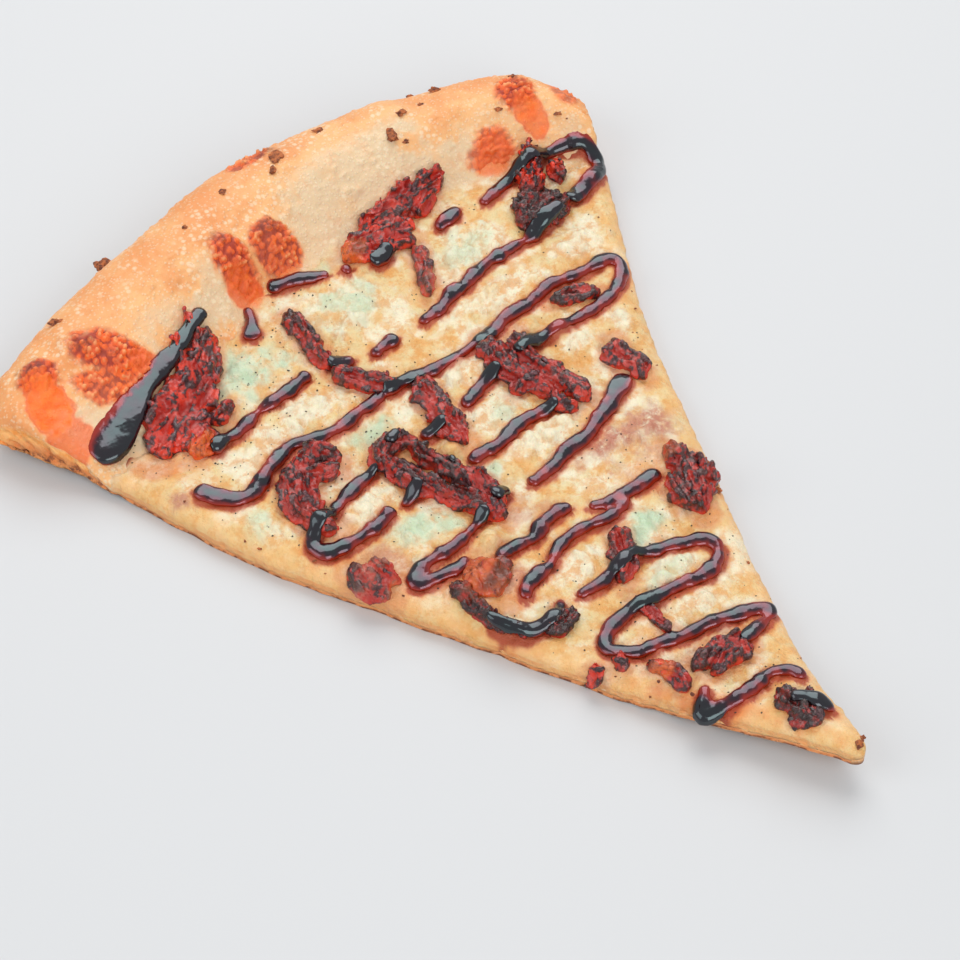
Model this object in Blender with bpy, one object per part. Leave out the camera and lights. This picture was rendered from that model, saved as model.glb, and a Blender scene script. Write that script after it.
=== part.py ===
"""A large pizza slice with sun-dried tomatoes and a thick dark glaze, as a Blender model.

Shapes are worked out in millimetres in the slice's own plan: the tip is at 0, 0 and +Y runs
from the tip to the rim. place() turns them into metres about the origin, which is the middle
of the slice's box, on the surface that the slice rests on.
"""

import math
from dataclasses import dataclass

import bmesh
import bpy
import numpy as np
from mathutils import Vector, noise
from mathutils.bvhtree import BVHTree

# The slice's plan
HALF_ANGLE = math.radians(25.0)
TIP_HALF_WIDTH = 2.5
TIP_LENGTH = 30.0
TIP_ROUND = 2.0
TIP_ASIDE = 2.0
BOW = 2.8
BOW_LENGTH = 30.0
BOW_BACK = 7.5
BOW_BACK_START = 130.0
BOW_BACK_LENGTH = 60.0
TIP_PLACE = (-2.1, -122.9)

# The underside lifts off the surface at the tip and under the rim
TIP_LIFT = 6.0
TIP_LIFT_LENGTH = 65.0
RIM_LIFT = 4.0
RIM_LIFT_START = 180.0
RIM_LIFT_LENGTH = 50.0

# Thicknesses
DOUGH = 4.2
CHEESE = 2.5
CHEESE_AT_CUT = 1.5
CHEESE_AT_RIM = 0.9
EDGE_ROUND = 6.0
GAP = 0.4
RESTING_GAP = 0.35

# The rim, by angle from the slice's middle line in degrees
RIM_FOOT = [(-25, 196), (-18, 191), (-9, 201), (-3, 205), (7, 209), (13, 211), (20, 211), (25, 208)]
RIM_HEIGHT = [(-25, 11), (-17, 15), (-5, 17.5), (8, 16.5), (18, 16.5), (25, 12.5)]
RIM_OUTER = [(-25, 235), (-22, 239), (-9, 241), (0, 246), (11, 247), (14, 245), (21, 244), (25, 232)]
RIM_CREST = 13.0
RIM_UNDERCUT = 8.0
RIM_WAIST = 0.42

# Rows and columns of the grids
INNER_ROWS = 30
RIM_ROWS = 13
COLUMNS = 24
DOUGH_FLAT = math.radians(1.4)
CHEESE_FLAT = math.radians(0.6)

# The glaze
GLAZE_WIDTH = 3.7
GLAZE_HEIGHT = 1.4
GLAZE_SINK = 0.9
GLAZE_STEP = 4.0
GLAZE_CLEAR = 0.5
GLAZE_ON_STRIP = 0.2
SHORTEST_RUN = 2

# Strips of tomato
STRIP_STEP = 4.2


@dataclass
class Mound:
    """A low dome of relief: its place, its two widths, its turn in degrees and its height."""

    x: float
    y: float
    length: float
    width: float
    turn: float = 0.0
    height: float = 1.0

    def at(self, x, y):
        """The dome's height over a point of the plan."""
        cos, sin = math.cos(math.radians(self.turn)), math.sin(math.radians(self.turn))
        along = ((x - self.x) * cos + (y - self.y) * sin) / (self.length / 2)
        across = ((y - self.y) * cos - (x - self.x) * sin) / (self.width / 2)
        return self.height * math.exp(-((along * along + across * across) ** 1.5))


@dataclass
class Strip:
    """A piece of tomato: one or more runs of (x, y, width), and its height above the cheese."""

    name: str
    height: float
    runs: list


BLISTERS = [
    Mound(-80, 211, 9, 12, -10, 1.6),
    Mound(-61.5, 207, 19, 11, -48, 1.8),
    Mound(-17, 215, 12, 13, 0, 3.2),
    Mound(-4, 214.5, 14, 12, 0, 3.0),
    Mound(82, 216, 12, 13, 20, 1.6),
    Mound(93, 209, 6, 12, -10, 1.2),
    Mound(66, 207.5, 13, 9, 0, 1.2),
    Mound(12, 236, 16, 12, 0, 1.6),
    Mound(46, 232, 14, 10, -10, 1.2),
]

CURDS = [
    Mound(-36, 187, 30, 18, -10, 1.0),
    Mound(2, 187, 22, 18, 0, 1.5),
    Mound(38, 187, 26, 14, 0, 1.4),
    Mound(-33, 167, 24, 10, 0, 1.3),
    Mound(35, 168, 34, 10, 0, 1.5),
    Mound(-38, 131, 18, 10, 0, 1.3),
    Mound(6, 135, 17, 11, 0, 1.5),
    Mound(8, 121, 26, 9, 0, 1.5),
    Mound(-32, 117, 22, 13, 0, 1.0),
    Mound(8, 152, 14, 9, 0, 1.3),
    Mound(40, 142, 14, 9, 30, 1.2),
    Mound(-12, 85, 20, 9, 0, 1.3),
    Mound(9, 84, 12, 10, 0, 1.0),
    Mound(4, 69, 17, 9, 0, 1.3),
    Mound(0, 58, 13, 8, 0, 1.3),
    Mound(-62, 142, 14, 10, 60, 0.9),
    Mound(-31, 153, 10, 7, 0, 1.0),
]

CRUMBS = [
    Mound(32, 153, 7, 6, 0, 2.6),
    Mound(37, 148, 7, 6, 0, 2.4),
    Mound(-30, 58, 6, 6, 0, 2.4),
    Mound(-25, 55.5, 5, 5, 0, 2.2),
    Mound(-11, 133, 5, 6, 0, 2.4),
    Mound(-23, 104, 7, 6, 0, 2.4),
]

STRIPS = [
    Strip(
        "tomato_rim_left",
        5.0,
        [[(-34, 203.5, 5), (-39.5, 197.5, 9), (-47, 191, 14), (-58, 183, 16), (-67, 175.5, 12)]],
    ),
    Strip("tomato_fork", 4.0, [[(-13.9, 196.5, 4.5), (-14.6, 188.5, 6), (-16.2, 178.6, 5)]]),
    Strip("tomato_fork_tail", 4.0, [[(-15.8, 169.6, 5.5), (-12.9, 165.1, 7), (-9.4, 160.9, 5.5)]]),
    Strip(
        "tomato_star",
        4.2,
        [
            [(-44.7, 153.6, 9), (-48, 147.6, 12), (-52.7, 140.6, 10), (-51.7, 134, 7), (-48.7, 130, 5)],
            [(-47.2, 147.6, 8), (-41.2, 151.6, 8), (-35.2, 152.6, 9)],
        ],
    ),
    Strip(
        "tomato_rim_right",
        5.0,
        [[(11, 202.5, 8), (20, 205, 12), (30, 206.5, 12), (39, 208, 8), (50, 209, 4.5)]],
    ),
    Strip("tomato_ribbon", 3.0, [[(28.5, 195, 5), (26, 189, 5), (22.5, 183, 5), (19.5, 178.3, 4)]]),
    Strip("tomato_charred", 5.5, [[(54.8, 183.1, 9), (62.8, 184.2, 12.5), (71.8, 182.1, 9)]]),
    Strip(
        "tomato_folded",
        5.0,
        [[(-24.2, 140.6, 12), (-22.7, 131.6, 13), (-20.2, 122.6, 12), (-17, 114.6, 11), (-15.7, 107.6, 8)]],
    ),
    Strip("tomato_middle", 4.2, [[(-3.4, 152.6, 7), (-4.7, 144.6, 8), (-7.2, 136.6, 7), (-6.7, 132.1, 6)]]),
    Strip("tomato_cut_edge", 4.5, [[(-53.2, 118.6, 9), (-53, 112.6, 12), (-50.5, 107, 8)]]),
    Strip("tomato_dome", 4.0, [[(-32.7, 99.6, 7), (-32.7, 95.1, 9), (-32.7, 90.6, 7)]]),
    Strip(
        "tomato_dark_strand",
        3.2,
        [[(-39.8, 98.6, 4), (-39.8, 91.6, 4.4), (-38.8, 84.6, 4.2), (-36, 79.3, 4), (-36.2, 76.1, 3.5)]],
    ),
    Strip("tomato_dark_foot", 3.4, [[(-32.2, 75.1, 5), (-27.7, 73.6, 6), (-22.2, 74.2, 4.5)]]),
    Strip(
        "tomato_long",
        4.6,
        [
            [(23.8, 155.6, 10), (21.3, 148.6, 12), (20.3, 141.6, 12), (22.8, 134.6, 11), (24.3, 128.6, 10)],
            [(24, 130, 9), (25, 127, 9), (26.8, 123, 7)],
            [(19.8, 138.6, 8), (13.8, 137.6, 6.5)],
        ],
    ),
    Strip("tomato_right_strand", 3.0, [[(42.8, 156.6, 5), (48.8, 154.6, 6), (55.3, 151.1, 5)]]),
    Strip("tomato_right_bend", 3.5, [[(45.3, 135, 6.5), (42.8, 130, 8.5), (43.8, 125, 7), (42.3, 120, 5)]]),
    Strip("tomato_far_edge", 5.0, [[(30.3, 99.1, 8), (29.8, 91.6, 10), (25.3, 83.6, 10), (22.3, 77.1, 9)]]),
    Strip("tomato_heart", 3.5, [[(2.1, 87.1, 4.5), (0.5, 83.6, 6), (-3.2, 77.6, 6), (-8, 73.1, 5)]]),
    Strip("tomato_thread", 2.6, [[(-8.8, 67.6, 3), (-9.2, 59.6, 3.2), (-9.7, 54.6, 3)]]),
    Strip("tomato_tangle", 4.0, [[(-14.2, 41.6, 7), (-6.2, 41.6, 10), (1.8, 42.1, 7)]]),
    Strip("tomato_near_strand", 3.0, [[(-20.8, 51, 3.5), (-18.4, 47, 4), (-18.4, 42.6, 4), (-19.4, 39, 3)]]),
    Strip("tomato_tip", 4.0, [[(-5.2, 24.6, 8), (-4.8, 16.6, 9.5), (-4.5, 11.1, 7)]]),
]

# The glaze's strands in the order that they were poured, as (x, y) or (x, y, width)
STRANDS = [
    [(-80, 187, 6), (-70, 191, 7), (-60, 195, 5), (-48, 200), (-38, 204.5), (-31, 207.5)],
    [(-20.5, 204), (-23.5, 199, 4.5), (-25, 196, 5.5)],
    [(-12, 207), (-3.7, 205.5), (4.5, 202), (10, 199.5), (17, 197.3), (25, 198), (37, 197), (47, 198.3)],
    [(47, 198.3), (55, 196.3), (63, 198), (73, 199.5), (82, 199), (88, 195)],
    [(88, 195), (88, 190), (83, 182.5), (76.5, 177.5)],
    [(66, 180.5), (53.6, 179), (40, 178.7), (30, 175.5), (20, 173.5), (11.6, 172.7), (-1, 172)],
    [(-1, 172), (-9.5, 173.7)],
    [(-9.5, 173.7), (-22, 177), (-38, 174.4), (-57, 170)],
    [(-67, 163, 5), (-64.4, 157, 5), (-58, 153, 5), (-50, 156.6), (-39.5, 160), (-29, 156.6), (0, 158)],
    [(0, 158), (10, 157), (30, 160), (47, 162), (58.6, 160), (66, 157), (60, 149.5), (50, 147.5)],
    [(50, 147.5), (30, 148), (16.5, 146.7), (0.6, 142.3), (-14, 141), (-30.5, 139), (-42, 137)],
    [(-42, 137), (-52.6, 134), (-57, 129.5, 5), (-52.6, 125.5, 5), (-40, 125.5), (-25, 128.3)],
    [(-25, 128.3), (-15.3, 129.3), (-7, 127), (5.5, 128.3), (19.3, 127.3), (30, 127), (38, 125, 5.5)],
    [(38, 125, 5.5), (31, 121.5, 5), (18.8, 115), (6, 113), (-4, 112), (-18, 111), (-30, 108.3)],
    [(-30, 108.3), (-40, 108.5), (-45.7, 104.8, 4), (-40, 102.5), (-30.5, 103.5)],
    [(-25.7, 98), (-14.6, 98), (-1, 99.7), (4, 96), (16.6, 94.2, 4.5), (23, 93.6, 4.5)],
    [(12, 93, 3), (2.7, 91.4, 3), (-7.7, 92.8), (-16.7, 89), (-26.3, 87), (-29, 84)],
    [(-18.4, 77.5), (0, 78), (8.8, 74.8), (17, 70.8), (17, 66.5), (10.6, 63), (-9.7, 66), (-19, 65.3)],
    [(-19, 65.3), (-24, 60.5), (-19, 55.5), (-9.2, 52.4), (5.7, 48.7), (12.5, 45.5)],
    [(-15.3, 37.6), (-19.5, 33.5), (-15, 30), (-6.7, 29.5), (0, 28), (0.5, 23.5, 3)],
]


def smooth(value):
    """The smooth step from 0 to 1."""
    value = min(max(value, 0.0), 1.0)
    return value * value * (3 - 2 * value)


def curve(table, angle):
    """The value at an angle in radians of a table by degrees, eased between its rows."""
    degrees = math.degrees(angle)
    for (start, low), (end, high) in zip(table, table[1:]):
        if degrees <= end:
            return low + (high - low) * smooth((degrees - start) / (end - start))
    return table[-1][1]


def ripple(x, y, size, seed):
    """Smooth noise between about -1 and 1, with lumps of the size given."""
    return noise.noise(Vector((x / size, y / size, seed)))


def middle(y):
    """How far the slice's middle line bows to the side."""
    back = BOW_BACK * smooth((y - BOW_BACK_START) / BOW_BACK_LENGTH)
    return back - TIP_ASIDE - BOW * smooth(y / BOW_LENGTH)


def plan(reach, side):
    """The plan position a reach from the tip, and side (-1 to 1) from cut to cut."""
    angle = side * HALF_ANGLE
    blunt = 1 - smooth(reach / TIP_LENGTH)
    y = reach * math.cos(angle) + TIP_ROUND * side * side * blunt
    return reach * math.sin(angle) + TIP_HALF_WIDTH * side * blunt + middle(y), y


def reach_and_side(x, y):
    """The reach and side of a plan position."""
    across = x - middle(y)
    return math.hypot(across, y), math.atan2(across, max(y, 0.001)) / HALF_ANGLE


def underside(reach):
    """The height of the slice's underside."""
    tip = TIP_LIFT * smooth((TIP_LIFT_LENGTH - reach) / TIP_LIFT_LENGTH)
    return tip + RIM_LIFT * smooth((reach - RIM_LIFT_START) / RIM_LIFT_LENGTH)


def outer_reach(side):
    """The rim's outer radius, which rounds in at the cuts."""
    return curve(RIM_OUTER, side * HALF_ANGLE)


def foot_reach(side):
    """The radius at which the rim starts to rise out of the cheese."""
    return curve(RIM_FOOT, side * HALF_ANGLE)


def from_cut(reach, side):
    """The distance from a point to the nearer cut."""
    return max(0.0, (1 - abs(side)) * HALF_ANGLE * reach)


def relief(mounds, x, y):
    """The height of a set of mounds over a plan position."""
    return sum(mound.at(x, y) for mound in mounds)


def dough_top(reach):
    """The height of the dough's upper face under the cheese."""
    return underside(reach) + DOUGH


def cheese_top(x, y):
    """The height of the cheese's upper face."""
    reach, side = reach_and_side(x, y)
    inside = smooth(from_cut(reach, side) / EDGE_ROUND)
    thick = CHEESE_AT_CUT + (CHEESE - CHEESE_AT_CUT) * inside
    to_rim = smooth((foot_reach(side) - reach) / 9.0)
    thick = CHEESE_AT_RIM + (thick - CHEESE_AT_RIM) * to_rim
    lumps = relief(CURDS, x, y) + relief(CRUMBS, x, y) + 0.45 * ripple(x, y, 9.0, 3.0)
    return dough_top(reach) + GAP + thick + lumps * inside * to_rim


def place(x, y, z):
    """A point in metres about the part's origin, from millimetres about the slice's tip."""
    return Vector((x + TIP_PLACE[0], y + TIP_PLACE[1], z)) / 1000


def clear_scene():
    """Remove every object, mesh and material."""
    for item in list(bpy.data.objects):
        bpy.data.objects.remove(item, do_unlink=True)


def material(name, colour, roughness):
    """A Principled BSDF material."""
    made = bpy.data.materials.new(name)
    made.use_nodes = True
    shader = made.node_tree.nodes["Principled BSDF"]
    shader.inputs["Base Color"].default_value = (*colour, 1.0)
    shader.inputs["Roughness"].default_value = roughness
    shader.inputs["Metallic"].default_value = 0.0
    return made


def to_object(name, mesh_data, finish):
    """A linked object from a bmesh, with its faces turned outwards."""
    bmesh.ops.recalc_face_normals(mesh_data, faces=mesh_data.faces)
    if mesh_data.calc_volume(signed=True) < 0:
        bmesh.ops.reverse_faces(mesh_data, faces=mesh_data.faces)
    mesh = bpy.data.meshes.new(name)
    mesh_data.to_mesh(mesh)
    mesh_data.free()
    made = bpy.data.objects.new(name, mesh)
    made.data.materials.append(finish)
    bpy.context.scene.collection.objects.link(made)
    return made


def shell(name, upper, lower, flat_angle, finish):
    """One closed body between two grids of points, with its nearly flat stretches merged."""
    grid = bmesh.new()
    top = [[grid.verts.new(place(*point)) for point in row] for row in upper]
    under = [[grid.verts.new(place(*point)) for point in row] for row in lower]
    rows, columns = len(top), len(top[0])
    for i in range(rows - 1):
        for j in range(columns - 1):
            grid.faces.new((top[i][j], top[i][j + 1], top[i + 1][j + 1], top[i + 1][j]))
            grid.faces.new((under[i][j], under[i + 1][j], under[i + 1][j + 1], under[i][j + 1]))
        for j in (0, columns - 1):
            grid.faces.new((top[i][j], top[i + 1][j], under[i + 1][j], under[i][j]))
    for j in range(columns - 1):
        for i in (0, rows - 1):
            grid.faces.new((top[i][j], top[i][j + 1], under[i][j + 1], under[i][j]))
    bmesh.ops.dissolve_limit(
        grid, angle_limit=flat_angle, verts=grid.verts, edges=grid.edges, use_dissolve_boundaries=False
    )
    bmesh.ops.triangulate(grid, faces=grid.faces)
    return to_object(name, grid, finish)


def rim_profile(side, step):
    """The reach and height of a point of the rim's upper face, step going from 0 to 1."""
    foot, outer = foot_reach(side), outer_reach(side)
    tall = curve(RIM_HEIGHT, side * HALF_ANGLE)
    crest = outer - RIM_CREST
    if step <= 0.5:
        part = step / 0.5
        reach = foot + (crest - foot) * part
        base = dough_top(reach)
        return reach, base + (underside(reach) + tall - base) * math.sin(part * math.pi / 2) ** 1.4
    turn = math.radians(150) * (step - 0.5) / 0.5
    waist = underside(outer) + tall * RIM_WAIST
    if turn <= math.pi / 2:
        top = underside(outer) + tall
        return crest + RIM_CREST * math.sin(turn), waist + (top - waist) * math.cos(turn)
    reach = outer - RIM_UNDERCUT * (1 - math.sin(turn))
    return reach, waist + (waist - underside(outer)) * math.cos(turn)


def columns():
    """The columns' sides from cut to cut, closer together near the cuts."""
    even = np.linspace(-1, 1, COLUMNS - 1)
    return sorted({*even.tolist(), -0.975, 0.975})


def inner_rows():
    """The inner rows as a share of the way from the tip to the rim's foot."""
    return [(i / INNER_ROWS) ** 0.95 for i in range(INNER_ROWS + 1)]


def make_crust(finish):
    """The dough under the cheese and the blistered rim, as one body."""
    upper, lower = [], []
    for share in inner_rows():
        reaches = [share * foot_reach(side) for side in columns()]
        spots = [(reach, *plan(reach, side)) for reach, side in zip(reaches, columns())]
        upper.append([(x, y, dough_top(reach)) for reach, x, y in spots])
        lower.append([(x, y, underside(reach)) for reach, x, y in spots])
    for i in range(1, RIM_ROWS + 1):
        top_row, low_row = [], []
        for side in columns():
            reach, height = rim_profile(side, i / RIM_ROWS)
            x, y = plan(reach, side)
            lumps = relief(BLISTERS, x, y) + 0.7 * ripple(x, y, 16.0, 7.0)
            fade = smooth((outer_reach(side) + 1 - reach) / 10) * smooth((reach - foot_reach(side)) / 6)
            top_row.append((x, y, height + lumps * fade * smooth(i / 3)))
            foot = foot_reach(side)
            low_reach = foot + (outer_reach(side) - RIM_UNDERCUT - foot) * i / RIM_ROWS
            low_row.append((*plan(low_reach, side), underside(low_reach)))
        upper.append(top_row)
        lower.append(low_row)
    return shell("crust", upper, lower, DOUGH_FLAT, finish)


def make_cheese(finish):
    """The cheese from cut to cut and from the tip to the rim's foot."""
    upper, lower = [], []
    for share in inner_rows():
        top_row, low_row = [], []
        for side in columns():
            reach = share * (foot_reach(side) - GAP)
            x, y = plan(reach, side)
            top_row.append((x, y, cheese_top(x, y)))
            low_row.append((x, y, dough_top(reach) + GAP))
        upper.append(top_row)
        lower.append(low_row)
    return shell("cheese", upper, lower, CHEESE_FLAT, finish)


def spline(points, step):
    """Points a step apart on a smooth curve through the points given, however many numbers each has."""
    knots = [Vector(point) for point in points]
    knots = [knots[0] * 2 - knots[1], *knots, knots[-1] * 2 - knots[-2]]
    found = []
    for a, b, c, d in zip(knots, knots[1:], knots[2:], knots[3:]):
        count = max(1, round((c - b).length / step))
        for i in range(count):
            t = i / count
            found.append(
                0.5 * (2 * b + (c - a) * t + (2 * a - 5 * b + 4 * c - d) * t * t)
                + 0.5 * (3 * b - a - 3 * c + d) * t**3
            )
    return [*found, knots[-2]]


def tube(name, rings, finish):
    """A closed body through rings of points, with a flat fan at each end."""
    body = bmesh.new()
    loops = [[body.verts.new(place(*point)) for point in ring] for ring in rings]
    for near, far in zip(loops, loops[1:]):
        for i in range(len(near)):
            j = (i + 1) % len(near)
            body.faces.new((near[i], near[j], far[j], far[i]))
    body.faces.new(loops[0])
    body.faces.new(loops[-1])
    bmesh.ops.triangulate(body, faces=body.faces)
    return to_object(name, body, finish)


def across(points, i):
    """The level unit vector that crosses a path at its point i."""
    ahead, behind = points[min(i + 1, len(points) - 1)], points[max(i - 1, 0)]
    along = Vector((ahead[0] - behind[0], ahead[1] - behind[1], 0)).normalized()
    return Vector((along.y, -along.x))


class Ground:
    """The faceted surface of some objects, seen from above, in millimetres about the tip."""

    def __init__(self, items):
        self.trees = [BVHTree.FromObject(item, bpy.context.evaluated_depsgraph_get()) for item in items]

    def height(self, x, y, missing=None):
        """The height of the highest surface at a plan position."""
        start = place(x, y, 100.0)
        hits = [tree.ray_cast(start, Vector((0, 0, -1)))[0] for tree in self.trees]
        heights = [hit.z * 1000 for hit in hits if hit is not None]
        return max(heights) if heights else missing

    def highest(self, x, y, around, missing):
        """The greatest height within a distance of a plan position."""
        steps = (-1, -0.5, 0, 0.5, 1)
        return max(self.height(x + a * around, y + b * around, missing) for a in steps for b in steps)


def union(base, others):
    """Join others to base by one Boolean, apply it and remove them."""
    if not others:
        return base
    group = bpy.data.collections.new(base.name + "_parts")
    bpy.context.scene.collection.children.link(group)
    for other in others:
        bpy.context.scene.collection.objects.unlink(other)
        group.objects.link(other)
    joint = base.modifiers.new("join", "BOOLEAN")
    joint.operation = "UNION"
    joint.operand_type = "COLLECTION"
    joint.collection = group
    joint.solver = "EXACT"
    joint.use_self = True
    evaluated = base.evaluated_get(bpy.context.evaluated_depsgraph_get())
    joined = bpy.data.meshes.new_from_object(evaluated)
    base.modifiers.clear()
    base.data = joined
    for other in others:
        bpy.data.objects.remove(other, do_unlink=True)
    bpy.data.collections.remove(group)
    return base


def make_strip(strip, ground, finish):
    """A wrinkled piece of tomato, lying just clear of what is under it."""
    pieces = []
    for number, run in enumerate(strip.runs):
        points = spline(run, STRIP_STEP)
        rings = []
        for i, (x, y, width) in enumerate(points):
            end = 0.62 if i in (0, len(points) - 1) else 1.0
            half = width / 2 * end * (1 + 0.12 * ripple(x, y, 5.0, 11.0 + number))
            cross = across(points, i)
            ring = []
            for spread, rise in ((-1, 0.3), (-0.75, 0.8), (-0.2, 1.0), (0.35, 0.8), (0.8, 0.85), (1, 0.25)):
                px, py = x + cross.x * spread * half, y + cross.y * spread * half
                wrinkle = 1 + 0.3 * ripple(px, py, 3.5, 21.0)
                floor = ground.highest(px, py, 2.2, 0.0) + RESTING_GAP
                ring.append((px, py, floor + strip.height * rise * wrinkle * (0.45 + 0.55 * end)))
            for spread in (0.8, 0.0, -0.8):
                px, py = x + cross.x * spread * half, y + cross.y * spread * half
                ring.append((px, py, ground.highest(px, py, 2.4, 0.0) + RESTING_GAP))
            rings.append(ring)
        pieces.append(tube(strip.name, rings, finish))
    return union(pieces[0], pieces[1:])


def strip_reach(strip, x, y):
    """How far inside a strip's outline a plan position is: over 0 is inside."""
    return max(
        width / 2 - math.hypot(x - px, y - py) for run in strip.runs for px, py, width in spline(run, 1.5)
    )


def glaze_runs():
    """Each stretch of glaze with what it lies on: its points as (x, y, width), and a name."""
    found = []
    for strand in STRANDS:
        full = [(*point, GLAZE_WIDTH)[:3] for point in strand]
        run, last = [], None
        for x, y, width in spline(full, GLAZE_STEP):
            carrier = lies_on(x, y, width)
            if carrier != last:
                found.append((last, run))
                run = []
            run.append((x, y, width))
            last = carrier
        found.append((last, run))
    return [(name, run) for name, run in found if name and len(run) >= SHORTEST_RUN]


def lies_on(x, y, width):
    """The node that carries the glaze at a plan position, or None where it would bridge two."""
    reach, side = reach_and_side(x, y)
    depth, name = max((strip_reach(strip, x, y), strip.name) for strip in STRIPS)
    if depth > GLAZE_ON_STRIP * width:
        return name
    if depth > -width / 2 - GLAZE_CLEAR:
        return None
    beyond = reach - foot_reach(side)
    if abs(beyond) < width / 2 + GLAZE_CLEAR:
        return None
    return "crust" if beyond > 0 else "cheese"


def add_glaze(node, runs):
    """Fuse to a node the ribbons of glaze that lie on it."""
    ground, finish = Ground([node]), node.data.materials[0]
    found = []
    for carrier, run in runs:
        held = [point for point in run if ground.height(*point[:2]) is not None]
        if carrier == node.name and len(held) >= SHORTEST_RUN:
            found.append(make_glaze(held, ground, finish))
    union(node, found)


def make_glaze(points, ground, finish):
    """A rounded ribbon of glaze, sunk a little into what carries it."""
    rings = []
    for i, (x, y, width) in enumerate(points):
        end = 0.5 if i in (0, len(points) - 1) else 1.0
        half = width / 2 * end * (1 + 0.15 * ripple(x, y, 6.0, 31.0))
        cross = across(points, i)
        ring = []
        base = ground.height(x, y)
        for spread, rise in ((-1, 0.0), (-0.6, 0.8), (0, 1.0), (0.6, 0.8), (1, 0.0)):
            px, py = x + cross.x * spread * half, y + cross.y * spread * half
            ring.append((px, py, base + GLAZE_HEIGHT * rise * (0.4 + 0.6 * end) - 0.15))
        ring.append((x, y, base - GLAZE_SINK))
        rings.append(ring)
    return tube("glaze", rings, finish)


def main():
    """Build the slice."""
    clear_scene()
    dough = material("baked_dough", (0.72, 0.45, 0.22), 0.8)
    cheese_finish = material("melted_cheese", (0.85, 0.75, 0.45), 0.5)
    tomato = material("dried_tomato", (0.24, 0.03, 0.03), 0.45)
    nodes = [make_crust(dough), make_cheese(cheese_finish)]
    runs = glaze_runs()
    for node in nodes:
        add_glaze(node, runs)
    ground = Ground(nodes)
    for strip in STRIPS:
        add_glaze(make_strip(strip, ground, tomato), runs)


main()
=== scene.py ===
"""The looks of a large pizza slice with sun-dried tomatoes and a dark glaze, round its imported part.

Shapes are worked out in millimetres in the slice's own plan, as in the part: the tip is at 0, 0 and
+Y runs from the tip to the rim. Plan.place turns them into metres about the part's origin.
"""

import logging
import math
from dataclasses import dataclass
from enum import Enum

import bmesh
import bpy
import numpy as np
from mathutils import Matrix, Vector, noise
from mathutils.bvhtree import BVHTree
from mathutils.kdtree import KDTree

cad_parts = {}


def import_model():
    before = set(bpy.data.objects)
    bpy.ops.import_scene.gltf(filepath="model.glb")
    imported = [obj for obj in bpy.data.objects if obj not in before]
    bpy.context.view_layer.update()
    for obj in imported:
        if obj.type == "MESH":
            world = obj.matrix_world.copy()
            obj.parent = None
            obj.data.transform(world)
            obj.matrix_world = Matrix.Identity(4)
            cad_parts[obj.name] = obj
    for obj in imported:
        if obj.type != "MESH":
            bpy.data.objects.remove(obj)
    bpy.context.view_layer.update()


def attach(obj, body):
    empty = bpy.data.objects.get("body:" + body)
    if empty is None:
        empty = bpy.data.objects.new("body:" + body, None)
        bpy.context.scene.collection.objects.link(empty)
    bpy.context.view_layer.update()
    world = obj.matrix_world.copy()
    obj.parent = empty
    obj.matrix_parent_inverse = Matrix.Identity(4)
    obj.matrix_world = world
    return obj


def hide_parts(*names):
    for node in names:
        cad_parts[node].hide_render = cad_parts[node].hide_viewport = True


MERGE_DISTANCE = 1e-7
BODY = "root"

log = logging.getLogger("pizza_slice")

Array = np.ndarray
Colour = tuple[float, float, float]


def smooth(value: Array) -> Array:
    """The smooth step from 0 to 1.

    Args:
        value: Any numbers; below 0 they give 0 and above 1 they give 1.

    Returns:
        The eased numbers.
    """
    value = np.clip(value, 0.0, 1.0)
    return value * value * (3 - 2 * value)


def curve(table: tuple, degrees: Array) -> Array:
    """Values of a table by degrees, eased between its rows.

    Args:
        table: Rows of (degrees, value) in rising order.
        degrees: Where the values are wanted.

    Returns:
        One value for each angle.
    """
    knots = np.array(table, float)
    row = np.clip(np.searchsorted(knots[:, 0], degrees, side="right") - 1, 0, len(knots) - 2)
    start, end = knots[row], knots[row + 1]
    share = (degrees - start[..., 0]) / (end[..., 0] - start[..., 0])
    return start[..., 1] + (end[..., 1] - start[..., 1]) * smooth(share)


def ripple(points: Array, size: float, seed: float) -> Array:
    """Smooth noise between about -1 and 1.

    Args:
        points: Points in millimetres, on the last axis.
        size: How large the lumps are, in millimetres.
        seed: Moves the pattern.

    Returns:
        One number for each point.
    """
    flat = (points.reshape(-1, 3) / size + seed).tolist()
    return np.array([noise.noise(point) for point in flat]).reshape(points.shape[:-1])


def turbulence(points: Array, size: float, seed: float, octaves: int = 3, hard: bool = False) -> Array:
    """Noise of several sizes at once.

    Args:
        points: Points in millimetres, on the last axis.
        size: How large the largest lumps are, in millimetres.
        seed: Moves the pattern.
        octaves: How many sizes are added up, each half the one before.
        hard: Whether the lumps meet in sharp creases.

    Returns:
        One number for each point.
    """
    flat = (points.reshape(-1, 3) / size + seed).tolist()
    found = [noise.turbulence(point, octaves, hard) for point in flat]
    return np.array(found).reshape(points.shape[:-1])


def cells(points: Array, size: float, seed: float) -> Array:
    """The distance to the nearest of a scatter of points, as a share of their spacing.

    Args:
        points: Points in millimetres, on the last axis.
        size: The scatter's spacing in millimetres.
        seed: Moves the pattern.

    Returns:
        One number for each point, 0 on a scattered point.
    """
    flat = (points.reshape(-1, 3) / size + seed).tolist()
    return np.array([noise.voronoi(point)[0][0] for point in flat]).reshape(points.shape[:-1])


def waves(x: Array, y: Array, size: float, seed: float) -> Array:
    """Slow noise over plan positions, with waves of a size in millimetres."""
    flat = zip((x / size).ravel().tolist(), (y / size).ravel().tolist())
    return np.array([noise.noise((a, b, seed)) for a, b in flat]).reshape(x.shape)


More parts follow.
